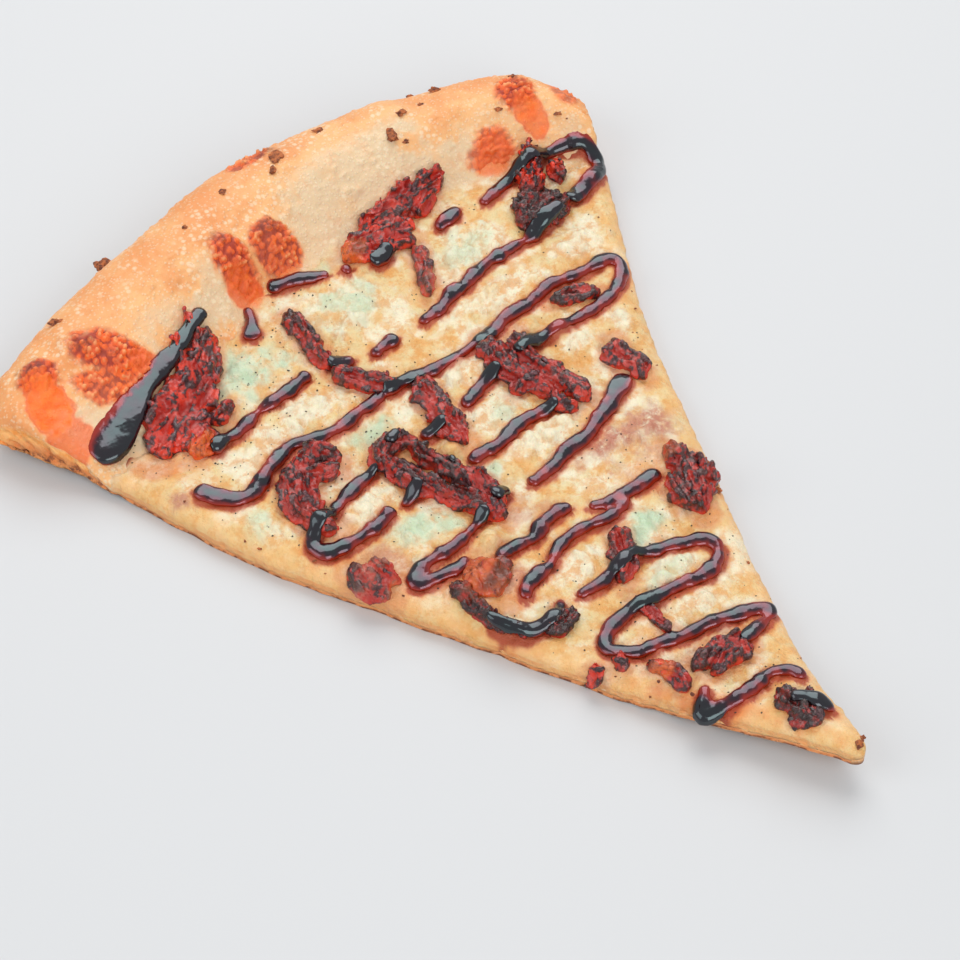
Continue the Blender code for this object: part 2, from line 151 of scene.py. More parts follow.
def eased_to(values: Array, start: float, limit: float) -> Array:
    """Numbers squeezed past a start, so that they never pass a limit.

    Args:
        values: The numbers.
        start: Where the squeeze begins.
        limit: What they stay short of, above or below the start.

    Returns:
        The numbers, changed only past the start.
    """
    past = np.maximum((values - start) / (limit - start), 0.0)
    return np.where(past > 0, start + (limit - start) * np.tanh(past), values)


def level(points: Array) -> Array:
    """The points with their heights set to 0."""
    return points * np.array([1.0, 1.0, 0.0])


def spline(points: list, step: float) -> Array:
    """Points on a smooth curve through the points given.

    Args:
        points: The knots, each of the same number of values.
        step: The distance between the points of the curve.

    Returns:
        The curve's points, one in each row.
    """
    knots = [Vector(point) for point in points]
    knots = [knots[0] * 2 - knots[1], *knots, knots[-1] * 2 - knots[-2]]
    found = []
    for a, b, c, d in zip(knots, knots[1:], knots[2:], knots[3:]):
        count = max(1, round((c - b).length / step))
        for i in range(count):
            t = i / count
            found.append(
                0.5 * (2 * b + (c - a) * t + (2 * a - 5 * b + 4 * c - d) * t * t)
                + 0.5 * (3 * b - a - 3 * c + d) * t**3
            )
    return np.array([*found, knots[-2]])


def crossing(path: Array) -> Array:
    """The level unit vectors that cross a path, one at each of its points."""
    along = np.gradient(path[:, :2], axis=0)
    along /= np.linalg.norm(along, axis=1, keepdims=True) + 1e-9
    return np.stack([along[:, 1], -along[:, 0]], axis=1)


def from_ends(path: Array, step: float) -> Array:
    """How far a path's points lie from its nearer end, in half widths of the path and up to 1."""
    ends = np.minimum(np.arange(len(path)), np.arange(len(path))[::-1]) * step
    return np.clip(ends / (path[:, 2] * 0.5), 0.02, 1.0)


def path_tree(path: Array) -> KDTree:
    """A search tree of the points of a path, seen from above."""
    tree = KDTree(len(path))
    for i, (x, y, _) in enumerate(path.tolist()):
        tree.insert((x, y, 0.0), i)
    tree.balance()
    return tree


def nearness(path: Array, points: Array) -> Array:
    """The distance from points to the edge of a band along a path, below 0 inside it.

    Args:
        path: The band's middle line, as rows of (x, y, width).
        points: Points in millimetres, on the last axis.

    Returns:
        One distance for each point.
    """
    tree = path_tree(path)
    found = [tree.find((x, y, 0.0))[1:] for x, y, _ in points.reshape(-1, 3).tolist()]
    return np.array([distance - path[i, 2] / 2 for i, distance in found]).reshape(points.shape[:-1])


def blurred(table: Array, times: int) -> Array:
    """A table smoothed along its rows, a number of times over."""
    kernel = np.array([1, 2, 3, 4, 3, 2, 1]) / 16
    for _ in range(times):
        padded = np.pad(table, ((3, 3), (0, 0)), mode="edge")
        table = sum(weight * padded[i : i + len(table)] for i, weight in enumerate(kernel))
    return table


@dataclass(frozen=True)
class Patch:
    """An oval place on the slice: its middle, its two widths, its turn in degrees and its strength."""

    x: float
    y: float
    length: float
    width: float
    turn: float = 0.0
    strength: float = 1.0

    def radius(self, x: Array, y: Array) -> Array:
        """How far out points lie, as a share of the way from the patch's middle to its edge."""
        cos, sin = math.cos(math.radians(self.turn)), math.sin(math.radians(self.turn))
        along = ((x - self.x) * cos + (y - self.y) * sin) / (self.length / 2)
        across = ((y - self.y) * cos - (x - self.x) * sin) / (self.width / 2)
        return np.hypot(along, across)

    def mound(self, x: Array, y: Array) -> Array:
        """The height over points of a low dome on the patch."""
        return self.strength * np.exp(-(self.radius(x, y) ** 3))

    def mask(self, x: Array, y: Array, warp: Array, soft: float) -> Array:
        """How much of the patch shows at points.

        Args:
            x: Their places across the slice.
            y: Their places along the slice.
            warp: Noise that makes the patch's edge uneven.
            soft: How wide the edge is, as a share of the patch.

        Returns:
            The patch's strength inside it, fading to 0 outside.
        """
        return self.strength * smooth((1.0 - self.radius(x, y) + warp) / soft + 0.5)


def patches(*rows: tuple) -> tuple:
    """A set of patches, each from its row of values."""
    return tuple(Patch(*row) for row in rows)


def mounds(domes: tuple, x: Array, y: Array) -> Array:
    """The summed height of a set of domes."""
    return sum(dome.mound(x, y) for dome in domes)


def masks(places: tuple, x: Array, y: Array, warp: Array, soft: float) -> Array:
    """The strongest of a set of patches at each point."""
    found = np.zeros_like(x)
    for patch in places:
        found = np.maximum(found, patch.mask(x, y, warp, soft))
    return found


def uneven(flat: Array) -> Array:
    """Noise that makes the edges of the blisters a little uneven."""
    return 0.22 * ripple(flat, 5.0, 6.0) + 0.16 * ripple(flat, 1.8, 7.0)


@dataclass(frozen=True)
class Plan:
    """The slice's plan and its layers, as the part has them, in millimetres and degrees."""

    half_angle: float = math.radians(25.0)
    tip_half_width: float = 2.5
    tip_length: float = 30.0
    tip_round: float = 2.0
    tip_aside: float = 2.0
    bow: float = 2.8
    bow_length: float = 30.0
    bow_back: float = 7.5
    bow_back_start: float = 130.0
    bow_back_length: float = 60.0
    tip_place: tuple[float, float] = (-2.1, -122.9)
    tip_lift: float = 6.0
    tip_lift_length: float = 65.0
    rim_lift: float = 4.0
    rim_lift_start: float = 180.0
    rim_lift_length: float = 50.0
    dough: float = 4.2
    cheese: float = 2.5
    cheese_at_cut: float = 1.5
    cheese_at_rim: float = 0.9
    edge_round: float = 6.0
    gap: float = 0.4
    rim_foot: tuple = (
        (-25, 196), (-18, 191), (-9, 201), (-3, 205), (7, 209), (13, 211), (20, 211), (25, 208),
    )
    rim_height: tuple = ((-25, 11), (-17, 15), (-5, 17.5), (8, 16.5), (18, 16.5), (25, 12.5))
    rim_outer: tuple = (
        (-25, 235), (-22, 239), (-9, 241), (0, 246), (11, 247), (14, 245), (21, 244), (25, 232),
    )
    rim_crest: float = 13.0
    rim_undercut: float = 8.0
    rim_waist: float = 0.42
    rim_turn: float = math.radians(150.0)
    cut_fall: float = 2.3
    cut_soft: float = 5.0

    def place(self, points: Array) -> Array:
        """Points in metres about the part's origin, from millimetres about the tip."""
        return (points + np.array([*self.tip_place, 0.0])) / 1000

    def unplace(self, points: Array) -> Array:
        """Points in millimetres about the tip, from metres about the part's origin."""
        return points * 1000 - np.array([*self.tip_place, 0.0])

    def middle(self, y: Array) -> Array:
        """How far the slice's middle line bows to the side."""
        back = self.bow_back * smooth((y - self.bow_back_start) / self.bow_back_length)
        return back - self.tip_aside - self.bow * smooth(y / self.bow_length)

    def spot(self, reach: Array, side: Array) -> tuple[Array, Array]:
        """The plan position a reach from the tip, and side (-1 to 1) from cut to cut."""
        angle = side * self.half_angle
        blunt = 1 - smooth(reach / self.tip_length)
        y = reach * np.cos(angle) + self.tip_round * side * side * blunt
        return reach * np.sin(angle) + self.tip_half_width * side * blunt + self.middle(y), y

    def reach_and_side(self, x: Array, y: Array) -> tuple[Array, Array]:
        """The reach and side of plan positions."""
        across = x - self.middle(y)
        return np.hypot(across, y), np.arctan2(across, np.maximum(y, 0.001)) / self.half_angle

    def underside(self, reach: Array) -> Array:
        """The height of the slice's underside."""
        tip = self.tip_lift * smooth((self.tip_lift_length - reach) / self.tip_lift_length)
        return tip + self.rim_lift * smooth((reach - self.rim_lift_start) / self.rim_lift_length)

    def dough_top(self, reach: Array) -> Array:
        """The height of the dough's upper face under the cheese."""
        return self.underside(reach) + self.dough

    def by_angle(self, table: tuple, side: Array) -> Array:
        """A table's values at sides from -1 to 1."""
        return curve(table, side * math.degrees(self.half_angle))

    def from_cut(self, reach: Array, side: Array) -> Array:
        """The distance from points to the nearer cut."""
        return np.maximum(0.0, (1 - np.abs(side)) * self.half_angle * reach)

    def shoulder(self, reach: Array, side: Array) -> Array:
        """How far the baked layers round off downwards beside a cut."""
        away = np.clip(self.from_cut(reach, side) / self.cut_soft, 0.0, 1.0)
        return self.cut_fall * (1 - np.sqrt(1 - (1 - away) ** 2))

    def nibbled(self, reach: Array, side: Array) -> Array:
        """Sides moved inwards unevenly near the cuts, as a cutter leaves soft dough."""
        reach, side = np.broadcast_arrays(reach, side)
        along = np.stack([reach, np.sign(side) * 60.0, reach * 0], axis=-1)
        inset = 0.50 + 0.6 * ripple(along, 9.0, 5.0) + 0.5 * ripple(along, 2.6, 6.0)
        near = 1 - smooth(self.from_cut(reach, side) / 8.0)
        return side * (1 - near * np.clip(inset, 0.0, 1.8) / (self.half_angle * np.maximum(reach, 12.0)))

    def toast(self, x: Array, y: Array, rim: Array) -> Array:
        """How brown the dough is baked, rim going from 0 at the rim's foot to 1 under its outer edge."""
        left = smooth((-x - 12) / 45)
        right, far_right = smooth(x / 35), smooth((x - 45) / 25)
        found = 0.12 + 0.05 * left + 0.95 * smooth((rim - 0.20 - 0.14 * right) / 0.36) + 0.25 * far_right
        return found - 0.25 * smooth(1 - np.abs(x - 28) / 42) * (1 - smooth((rim - 0.3) / 0.3))

    def rim_top(self, reach: Array, side: Array) -> Array:
        """The height of the rim's inner slope, without its blisters."""
        foot = self.by_angle(self.rim_foot, side)
        crest = self.by_angle(self.rim_outer, side) - self.rim_crest
        part = np.clip((reach - foot) / (crest - foot), 0.0, 1.0)
        base = self.dough_top(reach)
        tall = self.by_angle(self.rim_height, side)
        return base + (self.underside(reach) + tall - base) * np.sin(part * math.pi / 2) ** 1.4

    def rim_profile(self, side: Array, step: float) -> tuple[Array, Array]:
        """The reach and height of a row of the rim's upper face, its step going from 0 to 1."""
        foot, outer = self.by_angle(self.rim_foot, side), self.by_angle(self.rim_outer, side)
        tall = self.by_angle(self.rim_height, side)
        crest = outer - self.rim_crest
        if step <= 0.5:
            reach = foot + (crest - foot) * step / 0.5
            return reach, self.rim_top(reach, side)
        turn = self.rim_turn * (step - 0.5) / 0.5
        waist = self.underside(outer) + tall * self.rim_waist
        if turn <= math.pi / 2:
            top = self.underside(outer) + tall
            return crest + self.rim_crest * math.sin(turn), waist + (top - waist) * math.cos(turn)
        reach = outer - self.rim_undercut * (1 - math.sin(turn))
        return reach, waist + (waist - self.underside(outer)) * math.cos(turn)


PLAN = Plan()


def deselect() -> None:
    """Leave nothing selected, so that an operator acts on the next piece alone."""
    if bpy.context.mode != "OBJECT":
        bpy.ops.object.mode_set(mode="OBJECT")
    bpy.ops.object.select_all(action="DESELECT")


def pick(thing: bpy.types.Object) -> None:
    """Make one object the active and only selected one."""
    deselect()
    thing.select_set(True)
    bpy.context.view_layer.objects.active = thing


def apply_modifiers(thing: bpy.types.Object) -> None:
    """Apply all of an object's modifiers in order."""
    pick(thing)
    for modifier in list(thing.modifiers):
        bpy.ops.object.modifier_apply(modifier=modifier.name)


def positions(thing: bpy.types.Object) -> Array:
    """An object's vertices in millimetres about the slice's tip."""
    found = np.empty(len(thing.data.vertices) * 3)
    thing.data.vertices.foreach_get("co", found)
    return PLAN.unplace(found.reshape(-1, 3))


def move_to(thing: bpy.types.Object, points: Array) -> None:
    """Put an object's vertices at points in millimetres about the slice's tip."""
    thing.data.vertices.foreach_set("co", PLAN.place(points.reshape(-1, 3)).ravel())
    thing.data.update()


def normals(thing: bpy.types.Object) -> Array:
    """The directions in which an object's vertices face."""
    found = np.empty(len(thing.data.vertices) * 3, np.float32)
    thing.data.vertex_normals.foreach_get("vector", found)
    return found.reshape(-1, 3).astype(float)


def paint(thing: bpy.types.Object, name: str, values: Array) -> None:
    """Write one number for each vertex into an attribute that a finish reads."""
    layer = thing.data.attributes.get(name) or thing.data.attributes.new(name, "FLOAT", "POINT")
    layer.data.foreach_set("value", np.clip(values, 0.0, 1.0).astype(np.float32).ravel())


def settle(thing: bpy.types.Object, share: Array, times: int) -> None:
    """Even out the heights of a piece's points.

    Args:
        thing: The piece.
        share: How far each point follows its neighbours, from 0 to 1.
        times: How often.
    """
    points = positions(thing)
    edges = np.empty(len(thing.data.edges) * 2, dtype=np.int32)
    thing.data.edges.foreach_get("vertices", edges)
    first, second = edges.reshape(-1, 2).T
    size = len(points)
    count = np.bincount(edges, minlength=size)
    for _ in range(times):
        height = points[:, 2]
        total = np.bincount(first, height[second], size) + np.bincount(second, height[first], size)
        points[:, 2] += share * (total / count - height)
    move_to(thing, points)


def roll_up(name: str, table: Array, marks: dict[str, Array]) -> bpy.types.Object:
    """Bend a grid round a body, so that its rows become rings and its seam closes.

    Args:
        name: The piece's name.
        table: Points by row and place round the row, the last place of a row on its first.
        marks: Numbers by row and place that are kept as attributes.

    Returns:
        The body, still open at both ends.
    """
    rows, places = table.shape[:2]
    deselect()
    bpy.ops.mesh.primitive_grid_add(x_subdivisions=places - 1, y_subdivisions=rows - 1, size=0.1)
    made = bpy.context.active_object
    made.name = made.data.name = name
    move_to(made, table)
    for mark, values in marks.items():
        paint(made, mark, values)
    return made


def close_ends(thing: bpy.types.Object, rings: list, stride: int, wall: int) -> None:
    """Close the two ends of a rolled body with faces between its upper and lower edges.

    Args:
        thing: The body.
        rings: The vertex indices of each end, as (upper, lower, first wall, second wall).
        stride: How many upper edges stand over one lower edge.
        wall: How many vertices each wall has between its edges.
    """
    body = bmesh.new()
    body.from_mesh(thing.data)
    body.verts.ensure_lookup_table()
    for upper, lower, right, left in rings:
        lower = lower[::-1]
        last = len(lower) - 2
        for k in range(last + 1):
            ring = [lower[k], lower[k + 1]]
            if k == last and wall:
                ring += right[::-1]
            ring += upper[k * stride : (k + 1) * stride + 1][::-1]
            if k == 0 and wall:
                ring += left[::-1]
            body.faces.new([body.verts[index] for index in ring])
    body.to_mesh(thing.data)
    body.free()


def weld(thing: bpy.types.Object) -> None:
    """Merge a body's doubled vertices and turn its faces outwards."""
    pick(thing)
    bpy.ops.object.mode_set(mode="EDIT")
    bpy.ops.mesh.select_all(action="SELECT")
    bpy.ops.mesh.remove_doubles(threshold=MERGE_DISTANCE)
    bpy.ops.mesh.normals_make_consistent(inside=False)
    bpy.ops.object.mode_set(mode="OBJECT")
    bpy.ops.object.shade_smooth()


def sealed(name: str, table: Array) -> bpy.types.Object:
    """A table of points rolled up into a body, with both its ends filled."""
    made = roll_up(name, table, {})
    weld(made)
    bpy.ops.object.mode_set(mode="EDIT")
    bpy.ops.mesh.select_all(action="SELECT")
    bpy.ops.mesh.fill_holes(sides=0)
    bpy.ops.mesh.normals_make_consistent(inside=False)
    bpy.ops.object.mode_set(mode="OBJECT")
    return made


def merged(name: str, parts: list, voxel: float) -> bpy.types.Object:
    """Join bodies into one piece under one skin.

    Args:
        name: The piece's name.
        parts: The bodies, which may overlap.
        voxel: The fineness of the skin, in millimetres.

    Returns:
        The piece, with the modifier that makes its skin still to be applied.
    """
    deselect()
    for part in parts:
        part.select_set(True)
    bpy.context.view_layer.objects.active = parts[0]
    if len(parts) > 1:
        bpy.ops.object.join()
    made = bpy.context.view_layer.objects.active
    made.name = made.data.name = name
    skin = made.modifiers.new("skin", "REMESH")
    skin.mode, skin.voxel_size = "VOXEL", voxel / 1000
    return made


@dataclass(frozen=True)
class Slab:
    """The layout of a closed slab: rows from tip to rim, and one ring of vertices round each row."""

    upper: int
    lower: int
    wall: int

    def ring(self) -> tuple[Array, Array]:
        """The side (-1 to 1) and depth (0 on top, 1 below) of each place round a row."""
        top, bottom = np.linspace(-1, 1, self.upper), np.linspace(1, -1, self.lower)
        wall = np.linspace(0, 1, self.wall + 2)[1:-1]
        side = np.concatenate([top, np.ones(self.wall), bottom, -np.ones(self.wall), [-1.0]])
        depth = np.concatenate([top * 0, wall, bottom * 0 + 1, wall[::-1], [0.0]])
        return side, depth

    def end(self, row: int) -> tuple[list, list, list, list]:
        """The vertex indices of a row, as (upper, lower, first wall, second wall)."""
        size = self.upper + self.lower + 2 * self.wall + 1
        start = row * size
        marks = np.cumsum([0, self.upper, self.wall, self.lower, self.wall]) + start
        upper, right, lower, left = (list(range(a, b)) for a, b in zip(marks, marks[1:]))
        return upper, lower, right, left

    def build(self, name: str, table: Array, shown: dict[str, Array]) -> bpy.types.Object:
        """Make the slab's closed mesh from its table of points."""
        made = roll_up(name, table, shown)
        stride = (self.upper - 1) // (self.lower - 1)
        close_ends(made, [self.end(0), self.end(len(table) - 1)], stride, self.wall)
        weld(made)
        return made


def facing(table: Array) -> Array:
    """The outward directions of a rolled table of points."""
    down = np.gradient(table, axis=0)
    ring = table[:, :-1]
    round_it = np.roll(ring, -1, axis=1) - np.roll(ring, 1, axis=1)
    round_it = np.concatenate([round_it, round_it[:, :1]], axis=1)
    found = np.cross(round_it, down)
    return found / (np.linalg.norm(found, axis=2, keepdims=True) + 1e-9)


class Shader:
    """A material's node tree, built up with short calls."""

    def __init__(self, name: str) -> None:
        self.material = bpy.data.materials.new(name)
        self.material.use_nodes = True
        self.tree = self.material.node_tree
        self.surface = self.tree.nodes["Principled BSDF"]
        self.place = self.tree.nodes.new("ShaderNodeTexCoord").outputs["Object"]

    def node(self, kind: str, **values: object) -> bpy.types.Node:
        """A new node, with its options set."""
        made = self.tree.nodes.new(kind)
        for name, value in values.items():
            setattr(made, name, value)
        return made

    def feed(self, socket: bpy.types.NodeSocket, value: object) -> None:
        """Link a socket to another node's output, or set its value."""
        if isinstance(value, bpy.types.NodeSocket):
            self.tree.links.new(value, socket)
        elif isinstance(value, tuple) and len(value) == 3 and socket.type == "RGBA":
            socket.default_value = (*value, 1.0)
        else:
            socket.default_value = value

    def attribute(self, name: str) -> bpy.types.NodeSocket:
        """A number painted on the piece."""
        return self.node("ShaderNodeAttribute", attribute_name=name).outputs["Fac"]

    def grain(self, size: float, detail: float = 4.0, rough: float = 0.55) -> bpy.types.NodeSocket:
        """Noise from 0 to 1 with lumps of a size in millimetres."""
        made = self.node("ShaderNodeTexNoise")
        self.feed(made.inputs["Vector"], self.place)
        self.feed(made.inputs["Scale"], 1000 / size)
        self.feed(made.inputs["Detail"], detail)
        self.feed(made.inputs["Roughness"], rough)
        return made.outputs["Fac"]

    def spots(self, size: float) -> bpy.types.NodeSocket:
        """The distance to the nearest of a scatter of points, from 0, at a spacing in millimetres."""
        made = self.node("ShaderNodeTexVoronoi")
        self.feed(made.inputs["Vector"], self.place)
        self.feed(made.inputs["Scale"], 1000 / size)
        return made.outputs["Distance"]

    def ramp(self, value: object, low: float, high: float) -> bpy.types.NodeSocket:
        """A number eased from 0 at low to 1 at high; high may be the smaller one."""
        made = self.node("ShaderNodeMapRange", interpolation_type="SMOOTHSTEP")
        self.feed(made.inputs["Value"], value)
        if low > high:
            low, high = high, low
            made.inputs["To Min"].default_value, made.inputs["To Max"].default_value = 1.0, 0.0
        made.inputs["From Min"].default_value, made.inputs["From Max"].default_value = low, high
        return made.outputs["Result"]

    def ramp_to(self, value: object, low: float, high: float) -> bpy.types.NodeSocket:
        """A number from 0 to 1 stretched to run from low to high."""
        made = self.node("ShaderNodeMapRange")
        self.feed(made.inputs["Value"], value)
        made.inputs["To Min"].default_value, made.inputs["To Max"].default_value = low, high
        return made.outputs["Result"]

    def sum(self, kind: str, first: object, second: object) -> bpy.types.NodeSocket:
        """Arithmetic on two numbers."""
        made = self.node("ShaderNodeMath", operation=kind)
        self.feed(made.inputs[0], first)
        self.feed(made.inputs[1], second)
        return made.outputs["Value"]

    def times(self, *factors: object) -> bpy.types.NodeSocket:
        """The product of some numbers; a name stands for the number painted under it."""
        first, *others = [self.attribute(value) if isinstance(value, str) else value for value in factors]
        for value in others:
            first = self.sum("MULTIPLY", first, value)
        return first

    def mix(self, share: object, first: object, second: object) -> bpy.types.NodeSocket:
        """A colour between two."""
        made = self.node("ShaderNodeMix", data_type="RGBA")
        self.feed(made.inputs["Factor"], share)
        for socket, value in zip([s for s in made.inputs if s.type == "RGBA"], (first, second)):
            self.feed(socket, value)
        return made.outputs[2]

    def over(self, colour: object, new: object, *shares: object) -> bpy.types.NodeSocket:
        """A colour with a new one laid over it, as far as the product of the shares says."""
        return self.mix(self.times(*shares), colour, new)

    def bump(self, heights: list, depth: float) -> None:
        """Small relief from (number, share) pairs, the whole of it so many millimetres deep."""
        total = None
        for value, share in heights:
            part = self.times(value, share)
            total = part if total is None else self.sum("ADD", total, part)
        made = self.node("ShaderNodeBump")
        self.feed(made.inputs["Height"], total)
        self.feed(made.inputs["Strength"], 1.0)
        self.feed(made.inputs["Distance"], depth / 1000)
        self.feed(self.surface.inputs["Normal"], made.outputs["Normal"])

    def set(self, **values: object) -> None:
        """Set the surface's own sockets, their names written with underscores."""
        for name, value in values.items():
            self.feed(self.surface.inputs[name.replace("_", " ")], value)


@dataclass(frozen=True)
class CrustFinish:
    """Baked dough: cream to tan, with fine pale bubbles, orange-red blisters and charred spots."""

    cream: Colour = (0.80, 0.585, 0.355)
    pale: Colour = (0.92, 0.76, 0.53)
    peach: Colour = (0.90, 0.475, 0.195)
    tan: Colour = (0.80, 0.30, 0.09)
    knob: Colour = (1.0, 0.40, 0.15)
    orange: Colour = (0.97, 0.14, 0.006)
    amber: Colour = (0.97, 0.19, 0.014)
    red: Colour = (0.78, 0.115, 0.024)
    # Painted shade colour for the hollows between the blister knobs.
    crease: Colour = (0.42, 0.042, 0.015)
    char: Colour = (0.16, 0.03, 0.015)
    crumb: Colour = (1.0, 0.50, 0.17)
    hole: Colour = (0.95, 0.36, 0.08)
    rust: Colour = (0.62, 0.15, 0.04)
    base: Colour = (0.58, 0.25, 0.08)
    base_dark: Colour = (0.14, 0.035, 0.014)

    def dough(self, s: Shader) -> bpy.types.NodeSocket:
        """The baked skin's colour, from cream through peach to tan, with its pale bubbles."""
        mottle = s.times(s.sum("SUBTRACT", s.grain(13.0, 6.0, 0.6), 0.5), 1.3)
        toast = s.sum("ADD", s.attribute("toast"), mottle)
        colour = s.mix(s.ramp(toast, 0.0, 0.62), self.cream, self.peach)
        colour = s.over(colour, self.tan, s.ramp(toast, 0.62, 1.3))
        patchy = s.ramp(s.grain(16.0, 3.0), 0.40, 0.58)
        dots = s.times(s.ramp(s.spots(1.9), 0.45, 0.20), patchy, 0.6)
        fine = s.times(s.ramp(s.spots(1.05), 0.42, 0.2), 0.35)
        return s.over(colour, self.pale, s.sum("MAXIMUM", dots, fine))

    def tongue(self, s: Shader) -> bpy.types.NodeSocket:
        """The colour of the smooth orange spots."""
        return s.mix(s.ramp(s.grain(3.0, 5.0, 0.65), 0.38, 0.66), self.orange, self.amber)

    def make(self) -> bpy.types.Material:
        """The finish as a material."""
        s = Shader("baked_dough")
        fine, knob, orange = s.grain(1.3, 5.0, 0.6), s.attribute("knob"), s.attribute("orange")
        colour = s.over(self.dough(s), self.tan, s.ramp(s.grain(4.5, 6.0, 0.65), 0.52, 0.75), 0.35)
        crumbly = s.mix(s.ramp(s.grain(4.0, 5.0, 0.7), 0.44, 0.66), self.red, self.orange)
        # Painted shade: the hollows between the raised knobs are darkened with the crease colour.
        crumbly = s.over(crumbly, self.crease, s.ramp(knob, 0.26, 0.0))
        crumbly = s.over(crumbly, self.knob, s.ramp(knob, 0.36, 1.1))
        colour = s.over(colour, crumbly, "blister")
        colour = s.over(colour, self.tongue(s), orange)
        colour = s.over(colour, self.red, s.ramp(orange, 0.2, 0.5), s.ramp(orange, 0.9, 0.55), 0.55)
        colour = s.over(colour, self.char, "char", s.ramp(fine, 0.32, 0.62))
        inside = s.mix(s.ramp(s.grain(2.4, 5.0, 0.65), 0.42, 0.62), self.crumb, self.hole)
        colour = s.over(colour, inside, "cut")
        colour = s.over(colour, self.rust, "rusty", 0.6)
        colour = s.over(colour, self.base_dark, "scorch", s.ramp(s.grain(2.2, 4.0, 0.6), 0.42, 0.58))
        under = s.mix(s.ramp(s.grain(9.0, 7.0, 0.68), 0.44, 0.62), self.base, self.base_dark)
        colour = s.over(colour, under, "under")
        s.set(Base_Color=colour, Roughness=s.ramp_to(fine, 0.42, 0.7))
        s.set(Subsurface_Weight=0.12, Subsurface_Radius=(1.0, 0.45, 0.2), Subsurface_Scale=0.0025)
        s.bump([(fine, 0.6), (s.ramp(s.spots(1.05), 0.5, 0.1), 0.35), (s.grain(0.45, 2.0), 0.3)], 0.3)
        return s.material


@dataclass(frozen=True)
class CheeseFinish:
    """Melted cheese: pale curds, golden patches, and stains beside the glaze and the tomatoes."""

    body: Colour = (0.84, 0.67, 0.35)
    warm: Colour = (0.86, 0.54, 0.21)
    curd: Colour = (0.92, 0.84, 0.61)
    green: Colour = (0.56, 0.72, 0.50)
    gold: Colour = (0.78, 0.33, 0.06)
    orange: Colour = (0.84, 0.24, 0.045)
    stain: Colour = (0.40, 0.024, 0.005)
    pink: Colour = (0.58, 0.23, 0.145)
    edge: Colour = (0.95, 0.57, 0.225)

    def make(self) -> bpy.types.Material:
        """The finish as a material."""
        s = Shader("melted_cheese")
        mottle, patch, fine = s.grain(7.0, 6.0, 0.62), s.grain(11.0, 5.0, 0.6), s.grain(0.9, 4.0, 0.6)
        colour = s.mix(s.ramp(mottle, 0.36, 0.62), self.warm, self.body)
        colour = s.over(colour, self.curd, s.ramp(patch, 0.46, 0.62))
        bare = s.sum("SUBTRACT", 1.0, s.attribute("curd"))
        rust = s.times(s.ramp(s.grain(3.0, 7.0, 0.72), 0.53, 0.64), s.ramp(patch, 0.60, 0.42))
        colour = s.over(colour, self.gold, rust, bare, 0.5)
        colour = s.over(colour, self.curd, "curd", s.ramp(mottle, 0.22, 0.5))
        # Gold in the hollows between the cobbles and round the curds: partly browned cheese, partly painted
        # shade.
        colour = s.over(colour, self.gold, "crease", s.ramp(s.grain(4.0, 7.0, 0.7), 0.44, 0.58), 0.65)
        colour = s.over(colour, self.green, "green", s.ramp(mottle, 0.28, 0.55))
        colour = s.over(colour, self.edge, "edge", s.ramp(patch, 0.25, 0.6))
        colour = s.over(colour, self.gold, "gold", s.ramp(s.grain(2.6, 5.0, 0.65), 0.36, 0.62))
        colour = s.over(colour, self.orange, "orange", s.ramp(mottle, 0.25, 0.6))
        colour = s.over(colour, self.pink, "pink", s.ramp(s.grain(2.6, 6.0, 0.7), 0.28, 0.55))
        colour = s.over(colour, CrustFinish().dough(s), "film")
        colour = s.over(colour, CrustFinish().tongue(s), "blister")
        colour = s.over(colour, self.orange, "glow")
        colour = s.over(colour, self.stain, "stain")
        s.set(Base_Color=colour, Roughness=s.ramp_to(fine, 0.28, 0.5))
        s.set(Subsurface_Weight=0.15, Subsurface_Radius=(1.0, 0.6, 0.3), Subsurface_Scale=0.002)
        s.bump([(fine, 0.6), (s.grain(2.2, 5.0, 0.65), 1.0), (s.grain(0.35, 2.0), 0.25)], 0.75)
        return s.material


@dataclass(frozen=True)
class TomatoFinish:
    """Sun-dried tomato: dark, wet, wrinkled skin over bright red flesh, with a painted highlight on its
    ridges.
    """

    dark: Colour = (0.034, 0.006, 0.009)
    flesh: Colour = (0.46, 0.022, 0.016)
    # Painted highlight colour, laid as a sheen on the ridge tops.
    painted_sheen: Colour = (0.58, 0.24, 0.28)
    bright: Colour = (0.80, 0.045, 0.016)
    orange: Colour = (0.88, 0.16, 0.02)
    char: Colour = (0.030, 0.011, 0.009)
    pink: Colour = (0.74, 0.25, 0.16)

    def make(self) -> bpy.types.Material:
        """The finish as a material."""
        s = Shader("dried_tomato")
        fine = s.grain(1.3, 5.0, 0.65)
        blotch = s.times(s.sum("SUBTRACT", s.grain(2.6, 4.0, 0.6), 0.5), 1.5)
        ridge = s.sum("ADD", s.attribute("ridge"), blotch)
        colour = s.mix(s.ramp(ridge, 0.38, 0.66), self.flesh, self.dark)
        colour = s.over(colour, self.bright, "fresh", s.ramp(ridge, 0.66, 0.36))
        # Painted highlight: the pale mauve laid over the dark ridge tops here stands in for reflected light.
        glint = s.times(s.ramp(ridge, 0.55, 0.80), s.ramp(s.grain(2.2, 5.0, 0.7), 0.50, 0.64))
        colour = s.over(colour, self.painted_sheen, glint, 0.45)
        colour = s.over(colour, self.pink, "pink", s.ramp(fine, 0.3, 0.65))
        colour = s.over(colour, self.orange, "orange", s.ramp(fine, 0.25, 0.6))
        colour = s.over(colour, self.char, "char", s.ramp(fine, 0.25, 0.55))
        s.set(Base_Color=colour, Roughness=s.ramp_to(s.grain(1.5), 0.12, 0.32))
        s.set(Specular_IOR_Level=0.4, Coat_Weight=0.45, Coat_Roughness=0.06)
        s.set(Subsurface_Weight=0.1, Subsurface_Radius=(1.0, 0.2, 0.1), Subsurface_Scale=0.0012)
        s.bump([(fine, 0.8), (s.grain(0.7, 3.0), 0.35), (s.grain(0.35, 2.0), 0.15)], 0.5)
        return s.material


